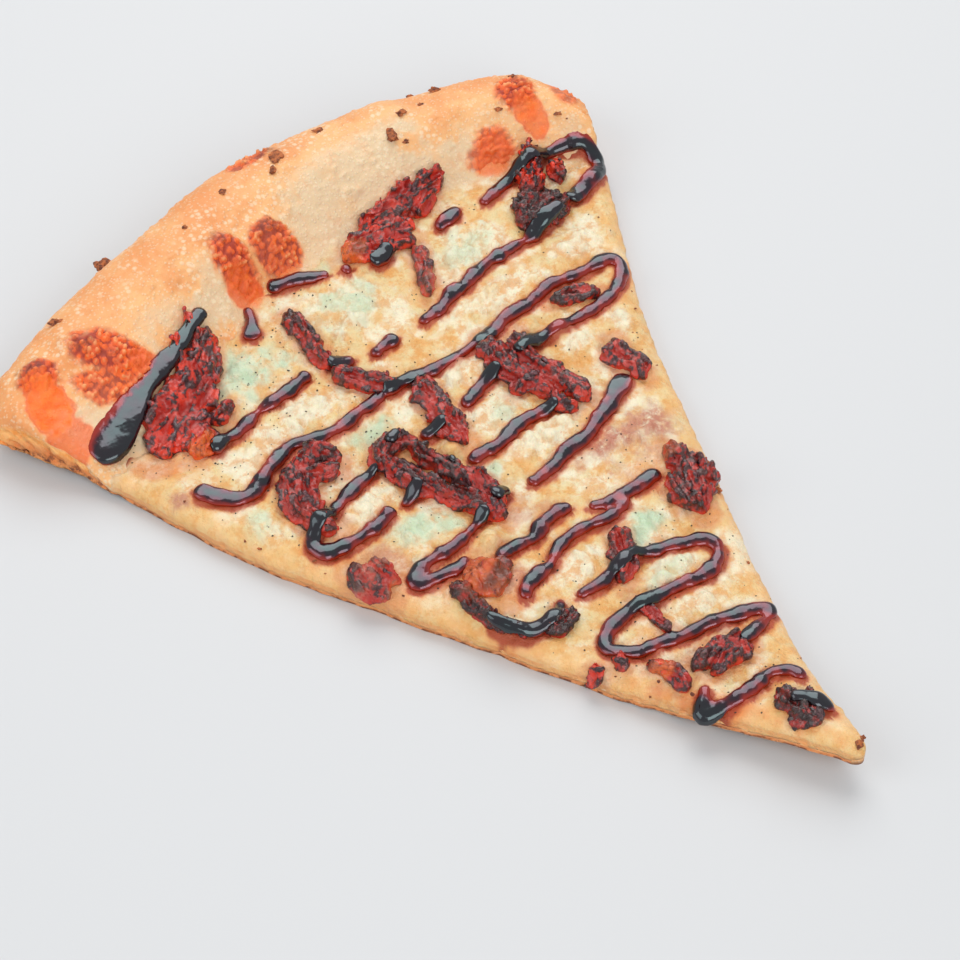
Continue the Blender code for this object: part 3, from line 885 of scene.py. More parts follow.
@dataclass(frozen=True)
class GlazeFinish:
    """Thick dark glaze: nearly black, with a red-brown glow where it is thin."""

    deep: Colour = (0.010, 0.003, 0.005)
    thin: Colour = (0.27, 0.016, 0.002)
    cool: Colour = (0.64, 0.93, 0.96)
    mauve: Colour = (0.94, 0.68, 0.84)

    def make(self) -> bpy.types.Material:
        """The finish as a material."""
        s = Shader("dark_glaze")
        drift = s.times(s.sum("SUBTRACT", s.grain(7.0, 3.0), 0.5), 0.5)
        depth = s.sum("ADD", s.attribute("depth"), drift)
        colour = s.mix(s.ramp(depth, 0.36, 0.84), self.thin, self.deep)
        s.set(Base_Color=colour, Roughness=s.ramp_to(s.grain(4.0, 2.0), 0.07, 0.2))
        s.set(Specular_IOR_Level=1.0, Specular_Tint=s.mix(s.ramp(depth, 0.72, 1.12), self.mauve, self.cool))
        s.bump([(s.grain(3.6, 2.0), 1.0)], 0.18)
        return s.material


@dataclass(frozen=True)
class SpeckFinish:
    """A dark, dry finish for ground pepper and for burnt crumbs."""

    name: str
    light: Colour
    dark: Colour
    grain: float

    def make(self) -> bpy.types.Material:
        """The finish as a material."""
        s = Shader(self.name)
        fine = s.grain(self.grain, 4.0, 0.7)
        s.set(Base_Color=s.mix(s.ramp(fine, 0.35, 0.65), self.dark, self.light), Roughness=0.75)
        s.bump([(fine, 1.0)], 0.2)
        return s.material


def dress(thing: bpy.types.Object, finish: bpy.types.Material, slot: str, *nodes: str) -> None:
    """Give a finished piece its material and its body, and hide the nodes that it stands for."""
    thing.data.materials.clear()
    thing.data.materials.append(finish)
    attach(thing, BODY)
    if nodes:
        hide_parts(*nodes)
    log.info("%s: %d faces", thing.name, len(thing.data.polygons))


class Ground:
    """The upper surface of some pieces, seen from above."""

    def __init__(self, things: list) -> None:
        graph = bpy.context.evaluated_depsgraph_get()
        self.trees = [BVHTree.FromObject(thing, graph) for thing in things]

    def heights(self, points: Array, missing: float = 0.0) -> Array:
        """The height of the highest surface at plan positions, in millimetres.

        Args:
            points: Positions whose last axis starts with x and y.
            missing: The height where there is nothing.

        Returns:
            One height for each position.
        """
        above = points[..., :1] * 0 + 100
        flat = PLAN.place(np.concatenate([points[..., :2], above], axis=-1).reshape(-1, 3))
        found = np.full(len(flat), missing)
        down = Vector((0, 0, -1))
        for i, start in enumerate(flat.tolist()):
            hits = [tree.ray_cast(start, down)[0] for tree in self.trees]
            tops = [hit.z * 1000 for hit in hits if hit is not None]
            if tops:
                found[i] = max(tops)
        return found.reshape(points.shape[:-1])


@dataclass
class Crust:
    """The dough under the cheese and the blistered rim, as one closed body."""

    plan: Plan
    slab: Slab = Slab(upper=361, lower=37, wall=11)
    inner_rows: int = 70
    rim_rows: int = 170
    last_step: float = 0.985
    wave_size: float = 16.0
    wave_height: float = 0.7
    bubble_size: float = 3.1
    small_bubble_size: float = 1.9
    knob_size: float = 1.55
    crumple: float = 1.5
    hole_size: float = 2.8
    bounds: tuple = ((0, -95.6, -96.5), (1, 244.6, 245.8), (2, 20.8, 22.1))
    blisters: tuple = patches(
        (-80, 211, 9, 12, -10, 2.4), (-61.5, 207, 19, 11, -48, 2.6), (-17, 215, 12, 14, 0, 4.6),
        (-3.5, 214.5, 13, 13, 0, 4.4), (82, 216, 12, 13, 20, 1.6), (93, 209, 6, 12, -10, 1.2),
        (66, 207.5, 13, 9, 0, 1.2), (12, 236, 16, 12, 0, 0.8), (46, 232, 14, 10, -10, 1.2),
    )
    scabs: tuple = patches(
        (-80, 211, 10.5, 10.5, -10), (-61.5, 206.5, 22, 12.5, -48), (-67, 200, 17, 9.5, -30, 0.9),
        (-17, 213.5, 11.5, 14, 10), (-3.5, 213.5, 14, 13, 0, 0.95), (82, 216, 13, 11, 20),
        (66, 207.5, 14, 10, 0, 0.85), (93.5, 209, 6, 12, -10, 0.7), (8, 240.5, 13, 6, 0, 0.85),
    )
    tongues: tuple = patches(
        (-82.5, 203, 11, 17, -10, 1.0), (-84, 192, 16, 11, 20, 0.6), (66, 206.5, 13, 9, 0, 0.5),
        (81, 208.5, 8.5, 11, 0, 0.85), (-18, 208.5, 9, 9, 0, 0.7), (-55, 201, 9, 7, -30, 0.6),
        (91, 228, 8, 7, 0, 0.6),
    )
    burns: tuple = patches(
        (-80, 213.5, 8, 6, 0, 0.8), (-67, 212, 9, 6, -40, 0.7), (-62, 205, 5, 3, -40, 0.4),
        (-3, 218, 10, 5, 0, 0.7), (-17, 219, 8, 4, 0, 0.6), (83, 218, 9, 6, 20, 0.7),
        (12, 240, 12, 5, 0, 0.7),
    )
    browns: tuple = patches(
        (-33, 216, 9, 8, 0, 1.0), (-70, 211, 12, 9, -30, 0.15), (57, 220, 15, 10, 0, 1.0),
        (47, 220, 9, 7, 0, 0.9), (-30, 200, 8, 9, 0, 1.1), (-10, 212, 16, 17, 0, 0.8),
        (-8, 222, 34, 12, 0, 0.7), (58, 226, 16, 8, 0, 0.7), (12, 237, 22, 9, 0, 0.9),
        (46, 236, 18, 8, 0, 0.7), (84, 228, 20, 10, 0, 0.6), (-45, 203, 6, 10, 0, 0.6),
    )

    def row(self, reach: Array, side: Array, height: Array) -> Array:
        """The points of one row, from cut to cut."""
        x, y = self.plan.spot(reach, self.plan.nibbled(reach, side))
        return np.stack([x, y, height], axis=1)

    def rim_height(self, reach: Array, side: Array, height: Array, step: float) -> Array:
        """The heights of a row of the rim, with its blisters and its rounding beside the cuts."""
        x, y = self.plan.spot(reach, self.plan.nibbled(reach, side))
        height = height + self.lumps(x, y, reach, side) * smooth(step * 13 / 3)
        low = self.plan.underside(reach) + 1.0
        return np.maximum(height - self.plan.shoulder(reach, side), np.minimum(height, low))

    def table(self) -> tuple[Array, dict[str, Array]]:
        """The body's points and marks, by row and place round the row."""
        plan = self.plan
        side, depth = self.slab.ring()
        foot, outer = plan.by_angle(plan.rim_foot, side), plan.by_angle(plan.rim_outer, side)
        upper, lower = [], []
        for i in range(self.inner_rows + 1):
            reach = (i / self.inner_rows) ** 0.95 * foot
            upper.append(self.row(reach, side, plan.dough_top(reach) - plan.shoulder(reach, side)))
            lower.append(self.row(reach, side, plan.underside(reach)))
        for i in range(1, self.rim_rows + 1):
            step = i / self.rim_rows * self.last_step
            reach, height = plan.rim_profile(side, step)
            upper.append(self.row(reach, side, self.rim_height(reach, side, height, step)))
            reach = foot + (outer - plan.rim_undercut - foot) * i / self.rim_rows
            lower.append(self.row(reach, side, plan.underside(reach)))
        share = depth[None, :, None]
        points = np.array(upper) * (1 - share) + np.array(lower) * share
        cut = np.broadcast_to((depth > 0) & (depth < 1), points.shape[:2]).astype(float)
        under = np.broadcast_to(depth == 1, points.shape[:2]).astype(float)
        rim = np.zeros(points.shape[:2])
        rim[self.inner_rows + 1 :] = np.linspace(0, 1, self.rim_rows)[:, None]
        depths = np.broadcast_to(depth, points.shape[:2])
        return points, {"cut": cut, "under": under, "rim": rim, "deep": depths}

    def lumps(self, x: Array, y: Array, reach: Array, side: Array) -> Array:
        """The rim's blisters and its slow unevenness."""
        outer = self.plan.by_angle(self.plan.rim_outer, side)
        foot = self.plan.by_angle(self.plan.rim_foot, side)
        fade = smooth((outer + 1 - reach) / 10) * smooth((reach - foot) / 6)
        return (mounds(self.blisters, x, y) + self.wave_height * waves(x, y, self.wave_size, 7.0)) * fade

    def relief(self, points: Array, marks: dict[str, Array], shown: dict[str, Array]) -> Array:
        """How far each point moves outwards for the bubbles, scabs and open crumb."""
        top = (marks["deep"] == 0) * smooth(marks["rim"] * 6)
        bubbly = smooth(ripple(points, 11.0, 2.0) * 3 + 0.5)
        bubbles = smooth((0.42 - cells(points, self.bubble_size, 5.0)) / 0.3) * bubbly
        small = smooth((0.42 - cells(points, self.small_bubble_size, 9.0)) / 0.3)
        soft = 0.42 * ripple(points, 6.0, 4.0) + 0.26 * ripple(points, 3.0, 14.0)
        soft = soft + 0.34 * bubbles + 0.16 * small
        crumpled = self.crumple * shown["knob"] + 0.7 * turbulence(points, 2.6, 1.0, 3, True) - 0.7
        crumpled = crumpled * shown["blister"]
        walls = marks["cut"] * np.sin(np.clip(marks["deep"], 0, 1) * math.pi)
        holes = smooth((0.45 - cells(points, self.hole_size, 3.0)) / 0.25)
        holes = holes * (0.25 + smooth(marks["rim"] * 3))
        inside = walls * (0.2 + holes + 0.4 * ripple(points, 2.4, 8.0))
        under = marks["under"] * 0.25 * (0.5 + 0.5 * ripple(points, 7.0, 18.0))
        return top * (soft * (1 - 0.6 * shown["blister"]) + crumpled) - inside - under

    def colours(self, points: Array, marks: dict[str, Array]) -> dict[str, Array]:
        """The numbers that the crust's finish reads."""
        x, y = points[..., 0], points[..., 1]
        flat = level(points)
        warp = 0.40 * turbulence(flat, 4.0, 6.0, 3) + 0.25 * ripple(flat, 2.0, 7.0) - 0.14
        calm = uneven(flat)
        top, deep = marks["deep"] == 0, marks["deep"]
        knob = smooth((0.74 - cells(points, self.knob_size, 23.0)) / 0.6)
        knob = knob * (0.8 + 0.7 * ripple(points, 4.0, 24.0))
        tongues = masks(self.tongues, x, y, calm, 0.42)
        reach, side = self.plan.reach_and_side(x, y)
        toast = self.plan.toast(x, y, marks["rim"]) + 0.45 * masks(self.scabs, x, y, calm, 0.9)
        toast = toast + 0.8 * masks(self.browns, x, y, warp, 1.4)
        toast = toast + 0.4 * (1 - smooth(self.plan.from_cut(reach, side) / 6.0))
        return {
            "toast": toast + 0.6 * smooth(1 - marks["rim"] * 60) * top,
            "blister": masks(self.scabs, x, y, calm, 0.40) * top,
            "knob": knob,
            "orange": tongues * (0.95 + 0.3 * ripple(points, 3.0, 26.0)) * top,
            "char": masks(self.burns, x, y, 2 * warp, 1.2) * top,
            "cut": marks["cut"] * smooth(deep * 6) * (0.55 + 0.45 * smooth(marks["rim"] * 8)),
            "scorch": marks["cut"] * smooth((deep - 0.60) / 0.25),
            "rusty": marks["cut"] * smooth((deep - 0.30) / 0.30),
            "under": marks["under"],
        }

    def build(self, finish: bpy.types.Material) -> bpy.types.Object:
        """Make the crust.

        Args:
            finish: The baked dough's material.

        Returns:
            The finished piece.
        """
        points, marks = self.table()
        shown = self.colours(points, marks)
        points = points + facing(points) * self.relief(points, marks, shown)[..., None]
        for axis, start, limit in self.bounds:
            points[..., axis] = eased_to(points[..., axis], start, limit)
        made = self.slab.build("crust_baked", points, shown)
        dress(made, finish, "baked_dough", "crust")
        return made


@dataclass
class Cheese:
    """The melted cheese from cut to cut, which runs out in a thin film on the rim's foot."""

    plan: Plan
    slab: Slab = Slab(upper=289, lower=19, wall=4)
    rows: int = 290
    overlap: float = 9.0
    film_fall: float = 1.9
    film_sink: float = 1.2
    wave_size: float = 9.0
    wave_height: float = 0.45
    edge_width: float = 8.0
    grain_size: float = 2.3
    cobble_size: float = 4.2
    oil_reach: float = 2.4
    glow_reach: float = 1.9
    stain_reach: float = 0.8
    glaze_shift: tuple[float, float] = (0.5, 0.75)
    curds: tuple = patches(
        (-36, 187, 30, 18, -10, 1.0), (2, 187, 22, 18, 0, 1.5), (38, 187, 26, 14, 0, 1.4),
        (-33, 167, 24, 10, 0, 1.3), (35, 168, 34, 10, 0, 1.5), (-38, 131, 18, 10, 0, 1.3),
        (6, 135, 17, 11, 0, 1.5), (8, 121, 26, 9, 0, 1.5), (-32, 117, 22, 13, 0, 1.0),
        (8, 152, 14, 9, 0, 1.3), (40, 142, 14, 9, 30, 1.2), (-12, 85, 20, 9, 0, 1.3),
        (9, 84, 12, 10, 0, 1.0), (4, 69, 17, 9, 0, 1.3), (0, 58, 13, 8, 0, 1.3), (-62, 142, 14, 10, 60, 0.9),
        (-31, 153, 10, 7, 0, 1.0), (83, 190, 14, 15, 0, 3.2), (28, 178, 12, 10, 0, 1.2),
        (62, 168, 20, 9, 0, 1.2), (52, 140, 10, 12, 0, 1.0), (24, 108, 16, 12, 0, 1.6),
        (-52, 160, 18, 10, 40, 0.8), (-31, 93.5, 24, 15, -20, 1.6), (-43, 131, 15, 8, 0, 1.0),
        (-10, 120, 14, 8, 0, 1.2), (-66, 165, 12, 12, 0, 0.6),
    )
    crumbs: tuple = patches(
        (32, 153, 7, 6, 0, 2.6), (37, 148, 7, 6, 0, 2.4), (-30, 58, 6, 6, 0, 2.4), (-25, 55.5, 5, 5, 0, 2.2),
        (-11, 133, 5, 6, 0, 2.4), (-23, 104, 7, 6, 0, 2.4),
    )
    greens: tuple = patches(
        (-36, 188, 30, 18, -10, 0.9), (-32, 117, 24, 14, 0, 0.8), (-22, 150, 18, 11, 0, 0.8),
        (38, 187, 24, 12, 0, 0.45), (-10, 121, 14, 8, 0, 0.7), (8, 134, 14, 9, 0, 0.4),
        (2, 68, 14, 8, 0, 0.5), (-62, 144, 12, 8, 60, 0.5), (9, 84, 13, 10, 0, 0.9),
        (15, 205, 60, 10, 8, 0.5), (2, 189, 20, 15, 0, 0.65),
    )
    golds: tuple = patches(
        (5, 168, 14, 7, 0, 0.8), (60, 165, 18, 10, 0, 0.5), (33, 135, 14, 10, 0, 0.7),
        (30, 152, 14, 8, 0, 0.6), (83, 190, 14, 16, 0, 0.7), (28, 178, 12, 10, 0, 0.4),
        (0, 40, 30, 50, 0, 0.12), (-70, 178, 14, 18, 20, 0.6), (-47, 105, 12, 30, 20, 0.5),
        (55, 205, 20, 10, 0, 0.4),
    )
    oranges: tuple = patches(
        (-18, 34, 34, 7, -65, 0.9), (-27, 52, 22, 4, -65, 0.25), (-9, 17, 26, 5, -65, 0.7),
        (-66, 172, 16, 9, -20, 0.6), (-14, 56, 10, 8, 0, 0.5), (20, 98, 14, 8, 0, 0.4),
        (-3, 26, 14, 10, 0, 0.2), (82, 199, 12, 8, 0, 0.7), (-31, 95, 26, 19, -20, 0.7),
        (-52, 113, 22, 16, 0, 0.6),
    )
    pinks: tuple = patches(
        (23, 109, 24, 17, 0, 1.0), (35, 107, 12, 14, 0, 1.0), (-45, 157, 10, 7, 0, 0.6),
        (-8, 104, 18, 8, -20, 0.5), (-72, 163, 6, 7, 0, 0.9), (-78.6, 163, 4, 4, 0, 1.0),
        (-12, 45, 24, 12, 0, 0.4), (-29, 92, 17, 10, -20, 0.9), (-47, 116, 14, 12, 0, 0.7),
        (-22, 99, 12, 8, 0, 0.5), (21, 90, 10, 16, 0, 0.6), (-12, 107, 12, 8, 0, 0.5),
    )

    def surface(self, x: Array, y: Array, reach: Array, side: Array) -> Array:
        """The height of the cheese's upper face, as the part has it."""
        plan = self.plan
        inside = smooth(plan.from_cut(reach, side) / plan.edge_round)
        thick = plan.cheese_at_cut + (plan.cheese - plan.cheese_at_cut) * inside
        to_rim = smooth((plan.by_angle(plan.rim_foot, side) - reach) / 9.0)
        thick = plan.cheese_at_rim + (thick - plan.cheese_at_rim) * to_rim
        lumps = mounds(self.curds, x, y) + mounds(self.crumbs, x, y)
        lumps = lumps + self.wave_height * waves(x, y, self.wave_size, 3.0)
        low = plan.dough_top(reach) + plan.gap + thick + lumps * inside * to_rim
        return low - plan.shoulder(reach, side)

    def table(self) -> tuple[Array, Array]:
        """The cheese's points, and how far past the rim's foot each lies."""
        plan = self.plan
        side, depth = self.slab.ring()
        side, depth = side[None, :], depth[None, :, None]
        share = (np.linspace(0, 1, self.rows) ** 0.95)[:, None]
        foot = plan.by_angle(plan.rim_foot, side)
        reach = share * (foot + self.overlap)
        x, y = plan.spot(reach, plan.nibbled(reach, side + share * 0))
        beyond = reach - foot
        drop = plan.shoulder(reach, side + share * 0)
        place = np.stack([x, y, x * 0], axis=-1)
        wander = 4.6 + 6.5 * ripple(place, 8.0, 1.0) + 2.5 * ripple(place, 3.0, 2.0)
        wander = np.clip(wander, 1.2, self.overlap)
        film = plan.gap + plan.cheese_at_rim - self.film_fall * smooth(beyond / wander)
        rim_top = plan.rim_top(reach, side) - drop
        top = np.where(beyond < 0, self.surface(x, y, reach, side + share * 0), rim_top + film)
        low = np.where(beyond < 0, plan.dough_top(reach) - drop - 0.5, rim_top - self.film_sink)
        upper, lower = np.stack([x, y, top], axis=-1), np.stack([x, y, low], axis=-1)
        return upper * (1 - depth) + lower * depth, beyond

    def relief(self, flat: Array, lumpy: Array) -> tuple[Array, Array, Array]:
        """The cheese's fine relief.

        Args:
            flat: The cheese's points at height 0.
            lumpy: How much of a curd there is at each, from 0 to 1.

        Returns:
            The heights that the relief adds, its grain, and its cobbles from 0 to 1.
        """
        grain = turbulence(flat, 3.2, 3.0, 4)
        grains = smooth((0.6 - cells(flat, self.grain_size, 27.0)) / 0.55)
        aside = np.stack([ripple(flat, 5.0, 35.0), ripple(flat, 5.0, 36.0), flat[..., 2]], axis=-1)
        cobbles = smooth((0.66 - cells(flat + 1.6 * aside, self.cobble_size, 29.0)) / 0.45)
        heights = 0.62 * grain + 0.35 * ripple(flat, 4.5, 12.0)
        heights += (0.15 + 0.75 * lumpy) * 0.6 * grains + (0.25 + 0.75 * lumpy) * 1.25 * (cobbles - 0.5)
        return heights - 0.45, grain, cobbles

    def soaked(self, flat: Array, ragged: Array, glaze: Array, tomato: Array) -> tuple[Array, ...]:
        """How strongly the cheese is stained.

        Args:
            flat: The cheese's points at height 0.
            ragged: Noise that makes the stains' edges uneven.
            glaze: The glaze's path points, as (x, y, width).
            tomato: The tomato pieces' path points, as (x, y, width).

        Returns:
            The glaze's dark stain, its wider glow and the tomatoes' oil, each from 0 to 1.
        """
        by_glaze = nearness(glaze, flat + np.array([*self.glaze_shift, 0.0]))
        by_tomato = nearness(tomato, flat)
        stain = smooth(1 - (by_glaze - 0.1 + 1.2 * ragged) / self.stain_reach)
        glow = smooth(1 - (by_glaze - 0.2 + 1.6 * ragged) / self.glow_reach)
        return stain, glow, smooth(1 - (by_tomato + 1.8 * ragged) / self.oil_reach)

    def build(self, finish: bpy.types.Material, glaze: Array, tomato: Array) -> bpy.types.Object:
        """Make the cheese.

        Args:
            finish: The melted cheese's material.
            glaze: The glaze's path points, as (x, y, width).
            tomato: The tomato pieces' path points, as (x, y, width).

        Returns:
            The finished piece.
        """
        points, beyond = self.table()
        _, depth = self.slab.ring()
        top = np.broadcast_to(depth == 0, beyond.shape).astype(float)
        flat = level(points)
        x, y = points[..., 0], points[..., 1]
        warp = 0.7 * turbulence(flat, 6.0, 2.0, 4) - 0.25
        curd = np.clip(masks(self.curds, x, y, warp, 0.6), 0, 1)
        reach, side = self.plan.reach_and_side(x, y)
        edge = 1 - smooth(self.plan.from_cut(reach, side) / self.edge_width)
        heights, grain, cobbles = self.relief(flat, curd)
        inland = top * smooth(-beyond / 3.0) * (1 - 0.65 * edge)
        points[..., 2] += heights * inland
        ragged = 0.5 * ripple(flat, 2.5, 15.0)
        stain, glow, oil = self.soaked(flat, ragged, glaze, tomato)
        brown = smooth(edge * 1.5 - 0.85 + 0.5 * grain) * (1 - 0.5 * smooth((40 - y) / 30))
        wall, oranges = 1 - top, masks(self.oranges, x, y, warp, 1.2)
        blisters = masks(Crust.tongues + Crust.scabs, x, y, uneven(flat), 0.42)
        toast = self.plan.toast(x, y, np.clip(beyond / 55, 0, 1))
        shown = {
            "toast": toast + 0.8 * masks(Crust.browns, x, y, warp, 1.4),
            "film": smooth((beyond + 1.0 + 4.0 * ragged) / 3.5),
            "blister": 0.9 * blisters,
            "curd": curd * (1 - edge),
            "green": masks(self.greens, x, y, warp, 0.9),
            "edge": np.maximum(edge * smooth(0.75 + 0.8 * ripple(flat, 9.0, 28.0)), wall),
            "gold": masks(self.golds, x, y, warp, 1.0),
            # The hollows between the cobbles and a band round each curd, which the finish paints gold: partly
            # browning, partly painted shade.
            "crease": np.maximum(1 - cobbles, 4 * curd * (1 - curd)) * top,
            "orange": np.maximum.reduce([0.5 * oil, 0.25 * brown, 0.55 * wall, oranges]),
            "pink": np.maximum(masks(self.pinks, x, y, warp, 0.9), 0.25 * oil),
            "glow": 0.42 * glow,
            "stain": 0.85 * stain,
        }
        made = self.slab.build("cheese_melted", points, shown)
        dress(made, finish, "melted_cheese", "cheese")
        return made


class Tone(Enum):
    """How a piece of tomato has dried: (how bright, how charred, how pink)."""

    RED = (0.9, 0.0, 0.1)
    DARK = (0.35, 0.15, 0.1)
    CHARRED = (0.12, 0.85, 0.0)
    PINK = (0.3, 0.1, 0.7)


@dataclass(frozen=True)
class Strip:
    """A piece of tomato: its node, its height above the cheese, its tone and its runs of (x, y, width)."""

    node: str
    height: float
    tone: Tone
    runs: tuple

    def path(self, step: float) -> Array:
        """The points of all its runs, as rows of (x, y, width)."""
        return np.concatenate([spline(run, step) for run in self.runs])


STRIPS = (
    Strip("rim_left", 5.0, Tone.RED, (
        ((-34, 203.5, 5), (-39.5, 197.5, 8), (-47.5, 191, 12), (-58.5, 184, 16), (-68, 178, 14)),
        ((-43, 204, 3), (-45.5, 200.5, 5), (-47, 197, 4)),
        ((-36.5, 209, 2), (-37.5, 206, 3.5), (-37, 203, 3)),
        ((-52, 177, 5), (-58, 173.5, 8), (-62, 171.5, 5)),
        ((-44, 181, 3), (-47.5, 178.5, 5), (-51, 178, 4)))),
    Strip("fork", 4.0, Tone.DARK, (
        ((-13.9, 196.5, 4.5), (-14.6, 188.5, 6), (-16.2, 178.6, 5.5), (-17, 174.5, 4)),)),
    Strip("fork_tail", 4.0, Tone.DARK, (
        ((-17, 173, 4), (-15.8, 169.6, 5.5), (-12.9, 165.1, 7), (-9.4, 160.9, 6), (-6.5, 159, 4.5)),)),
    Strip("star", 4.4, Tone.DARK, (
        ((-45, 154, 6), (-49, 147.6, 8), (-53, 141, 7), (-52, 134, 6), (-48.7, 130, 5)),
        ((-43, 155, 4), (-44.5, 149, 6), (-48, 143.5, 6), (-49.5, 137, 5)),
        ((-47.2, 148.6, 5), (-41.2, 152.6, 6), (-35.2, 154.6, 6)),
        ((-44, 149, 5), (-39.5, 146.5, 5.5), (-36.5, 144.5, 3)),
        ((-40, 156.5, 3), (-36.5, 152, 5), (-34.5, 147.5, 3.5)))),
    Strip("rim_right", 5.0, Tone.RED, (
        ((10.5, 203, 6), (18, 203.5, 10), (27, 203, 11), (34, 204.5, 8)),
        ((20, 208.5, 5), (27, 208.8, 7), (35, 209, 8), (42, 209.6, 7), (51, 210.5, 3.5)),
        ((36, 203.5, 3), (40, 205, 4.5), (45, 207, 3)),
        ((25, 200, 5), (27.5, 197.5, 4.5), (28.5, 195, 3.5)))),
    Strip("ribbon", 3.0, Tone.PINK, (((28.5, 195, 5), (26, 189, 5), (22.5, 183, 5), (19.5, 178.3, 4)),)),
    Strip("charred", 5.5, Tone.CHARRED, (
        ((54.8, 183.1, 9), (62.8, 184.2, 12.5), (71.8, 182.1, 9)),
        ((66, 193.5, 4), (70.5, 197.5, 6), (74, 200.5, 6), (76.5, 204, 3.5)),
        ((62, 190, 4), (67, 192, 5), (72, 192.5, 4)),
        ((74, 188, 3), (76, 192, 4.5), (77, 196, 3)))),
    Strip("folded", 5.0, Tone.DARK, (
        ((-26.8, 139, 5.5), (-25.6, 131, 6.4), (-23, 124, 6.6), (-19.8, 117, 6.4), (-17, 111, 6),
         (-15.2, 107, 5)),
        ((-18.6, 140, 5.5), (-17.4, 131.5, 6), (-15.4, 124.5, 6), (-13.5, 118, 6), (-13.6, 110, 6)),
        ((-27.5, 136, 5), (-27.5, 140.5, 6), (-24, 143.6, 6), (-19.5, 143, 6), (-17.5, 138.5, 5)))),
    Strip("middle", 4.2, Tone.DARK, (
        ((-1.5, 157, 5.5), (-3.2, 152.6, 7.5), (-4.7, 144.6, 8), (-7.0, 137.6, 8), (-6.7, 131.6, 6)),)),
    Strip("cut_edge", 4.5, Tone.PINK, (
        ((-54, 119, 7), (-54, 112.6, 9), (-52, 106.5, 6)),
        ((-49.5, 117.5, 4.5), (-49.5, 112, 6), (-48, 107.5, 4)))),
    Strip("dome", 4.0, Tone.PINK, (((-32.4, 101.4, 9), (-32, 95.4, 14), (-32.4, 89.2, 10)),)),
    Strip("dark_strand", 3.2, Tone.CHARRED, (
        ((-39.8, 98.6, 4), (-39.8, 91.6, 4.4), (-38.8, 84.6, 4.2), (-36, 79.3, 4), (-36.2, 76.1, 3.5)),)),
    Strip("dark_foot", 3.4, Tone.CHARRED, (((-32.2, 75.1, 5), (-27.7, 73.6, 6), (-22.2, 74.2, 4.5)),)),
    Strip("long", 4.6, Tone.DARK, (
        ((21, 156.5, 8), (18.5, 150, 8), (17.5, 143.5, 7), (19.8, 136.5, 7), (22, 129.5, 6)),
        ((27, 153.5, 6), (24.6, 146, 6.5), (25.2, 138.5, 6), (26, 131, 6), (26.8, 123.5, 6)),
        ((20.5, 138.6, 5), (15.5, 137.8, 5), (12.4, 136.4, 3.5)),
        ((21, 131, 4), (19.5, 126.5, 4.5), (22, 122.5, 3)))),
    Strip("right_strand", 3.0, Tone.DARK, (((42.8, 156.6, 5), (48.8, 154.6, 6), (55.3, 151.1, 5)),)),
    Strip("right_bend", 3.5, Tone.DARK, (
        ((45.3, 135, 6.5), (42.8, 130, 8.5), (43.8, 125, 7), (42.3, 120, 5)),)),
    Strip("far_edge", 5.0, Tone.DARK, (
        ((30, 99, 6), (29.3, 91.6, 8), (25.3, 83.6, 8), (22.3, 77.1, 7)),
        ((34.2, 93, 3.5), (33, 88, 5), (30.5, 82.5, 4.5)),
        ((24, 92, 4), (21.8, 86, 5), (20.6, 80.5, 4)))),
    Strip("heart", 3.5, Tone.DARK, (((2.1, 87.1, 4.5), (0.5, 83.6, 6), (-3.2, 77.6, 6), (-8, 73.1, 5)),)),
    Strip("thread", 2.6, Tone.DARK, (((-8.8, 67.6, 3), (-9.2, 59.6, 3.2), (-9.7, 54.6, 3)),)),
    Strip("tangle", 4.0, Tone.DARK, (
        ((-14.2, 42.6, 5), (-6.2, 43.6, 5), (1.8, 43.1, 4)),
        ((-12, 38.5, 4), (-6, 39, 5), (0.5, 38.6, 4)),
        ((-6.5, 45.5, 3), (-3, 41, 4.5), (-2, 36, 3)))),
    Strip("near_strand", 3.0, Tone.RED, (
        ((-20.8, 51, 3.5), (-18.4, 47, 4), (-18.4, 42.6, 4), (-19.4, 39, 3)),
        ((-32, 59.5, 3), (-30.6, 58, 4.5), (-29, 56.6, 3)),
        ((-26.5, 57, 2.5), (-24.8, 55, 3.5), (-23, 54, 2.5)))),
    Strip("tip", 4.0, Tone.CHARRED, (((-5.2, 24.6, 8), (-4.8, 16.6, 9.5), (-4.5, 11.1, 7)),)),
)


BRIGHT_SPOTS = patches(
    (72, 198, 18, 18, 0, 1.0), (-30.5, 58, 9, 9, 0, 0.8), (-60, 174, 14, 12, 0, 0.7),
    (24, 122, 10, 10, 0, 0.6), (-47, 114, 12, 14, 0, 0.3), (-47, 202, 8, 12, 0, 0.8),
)
CHAR_SPOTS = patches(
    (-20.6, 126, 30, 3.0, -79.5, 0.8), (-14, 196, 6, 7, 0, 0.9), (-40, 157, 8, 5, 0, 0.8),
)
ORANGE_SPOTS = patches(
    (12, 202.5, 9, 8, 0, 0.9), (-60, 171.5, 12, 6, 20, 0.8), (-19.6, 47, 6, 5, 0, 0.7),
    (-33, 95, 14, 16, 0, 0.7), (28, 97, 9, 6, 0, 0.4), (-50, 105, 6, 6, 0, 0.6),
)


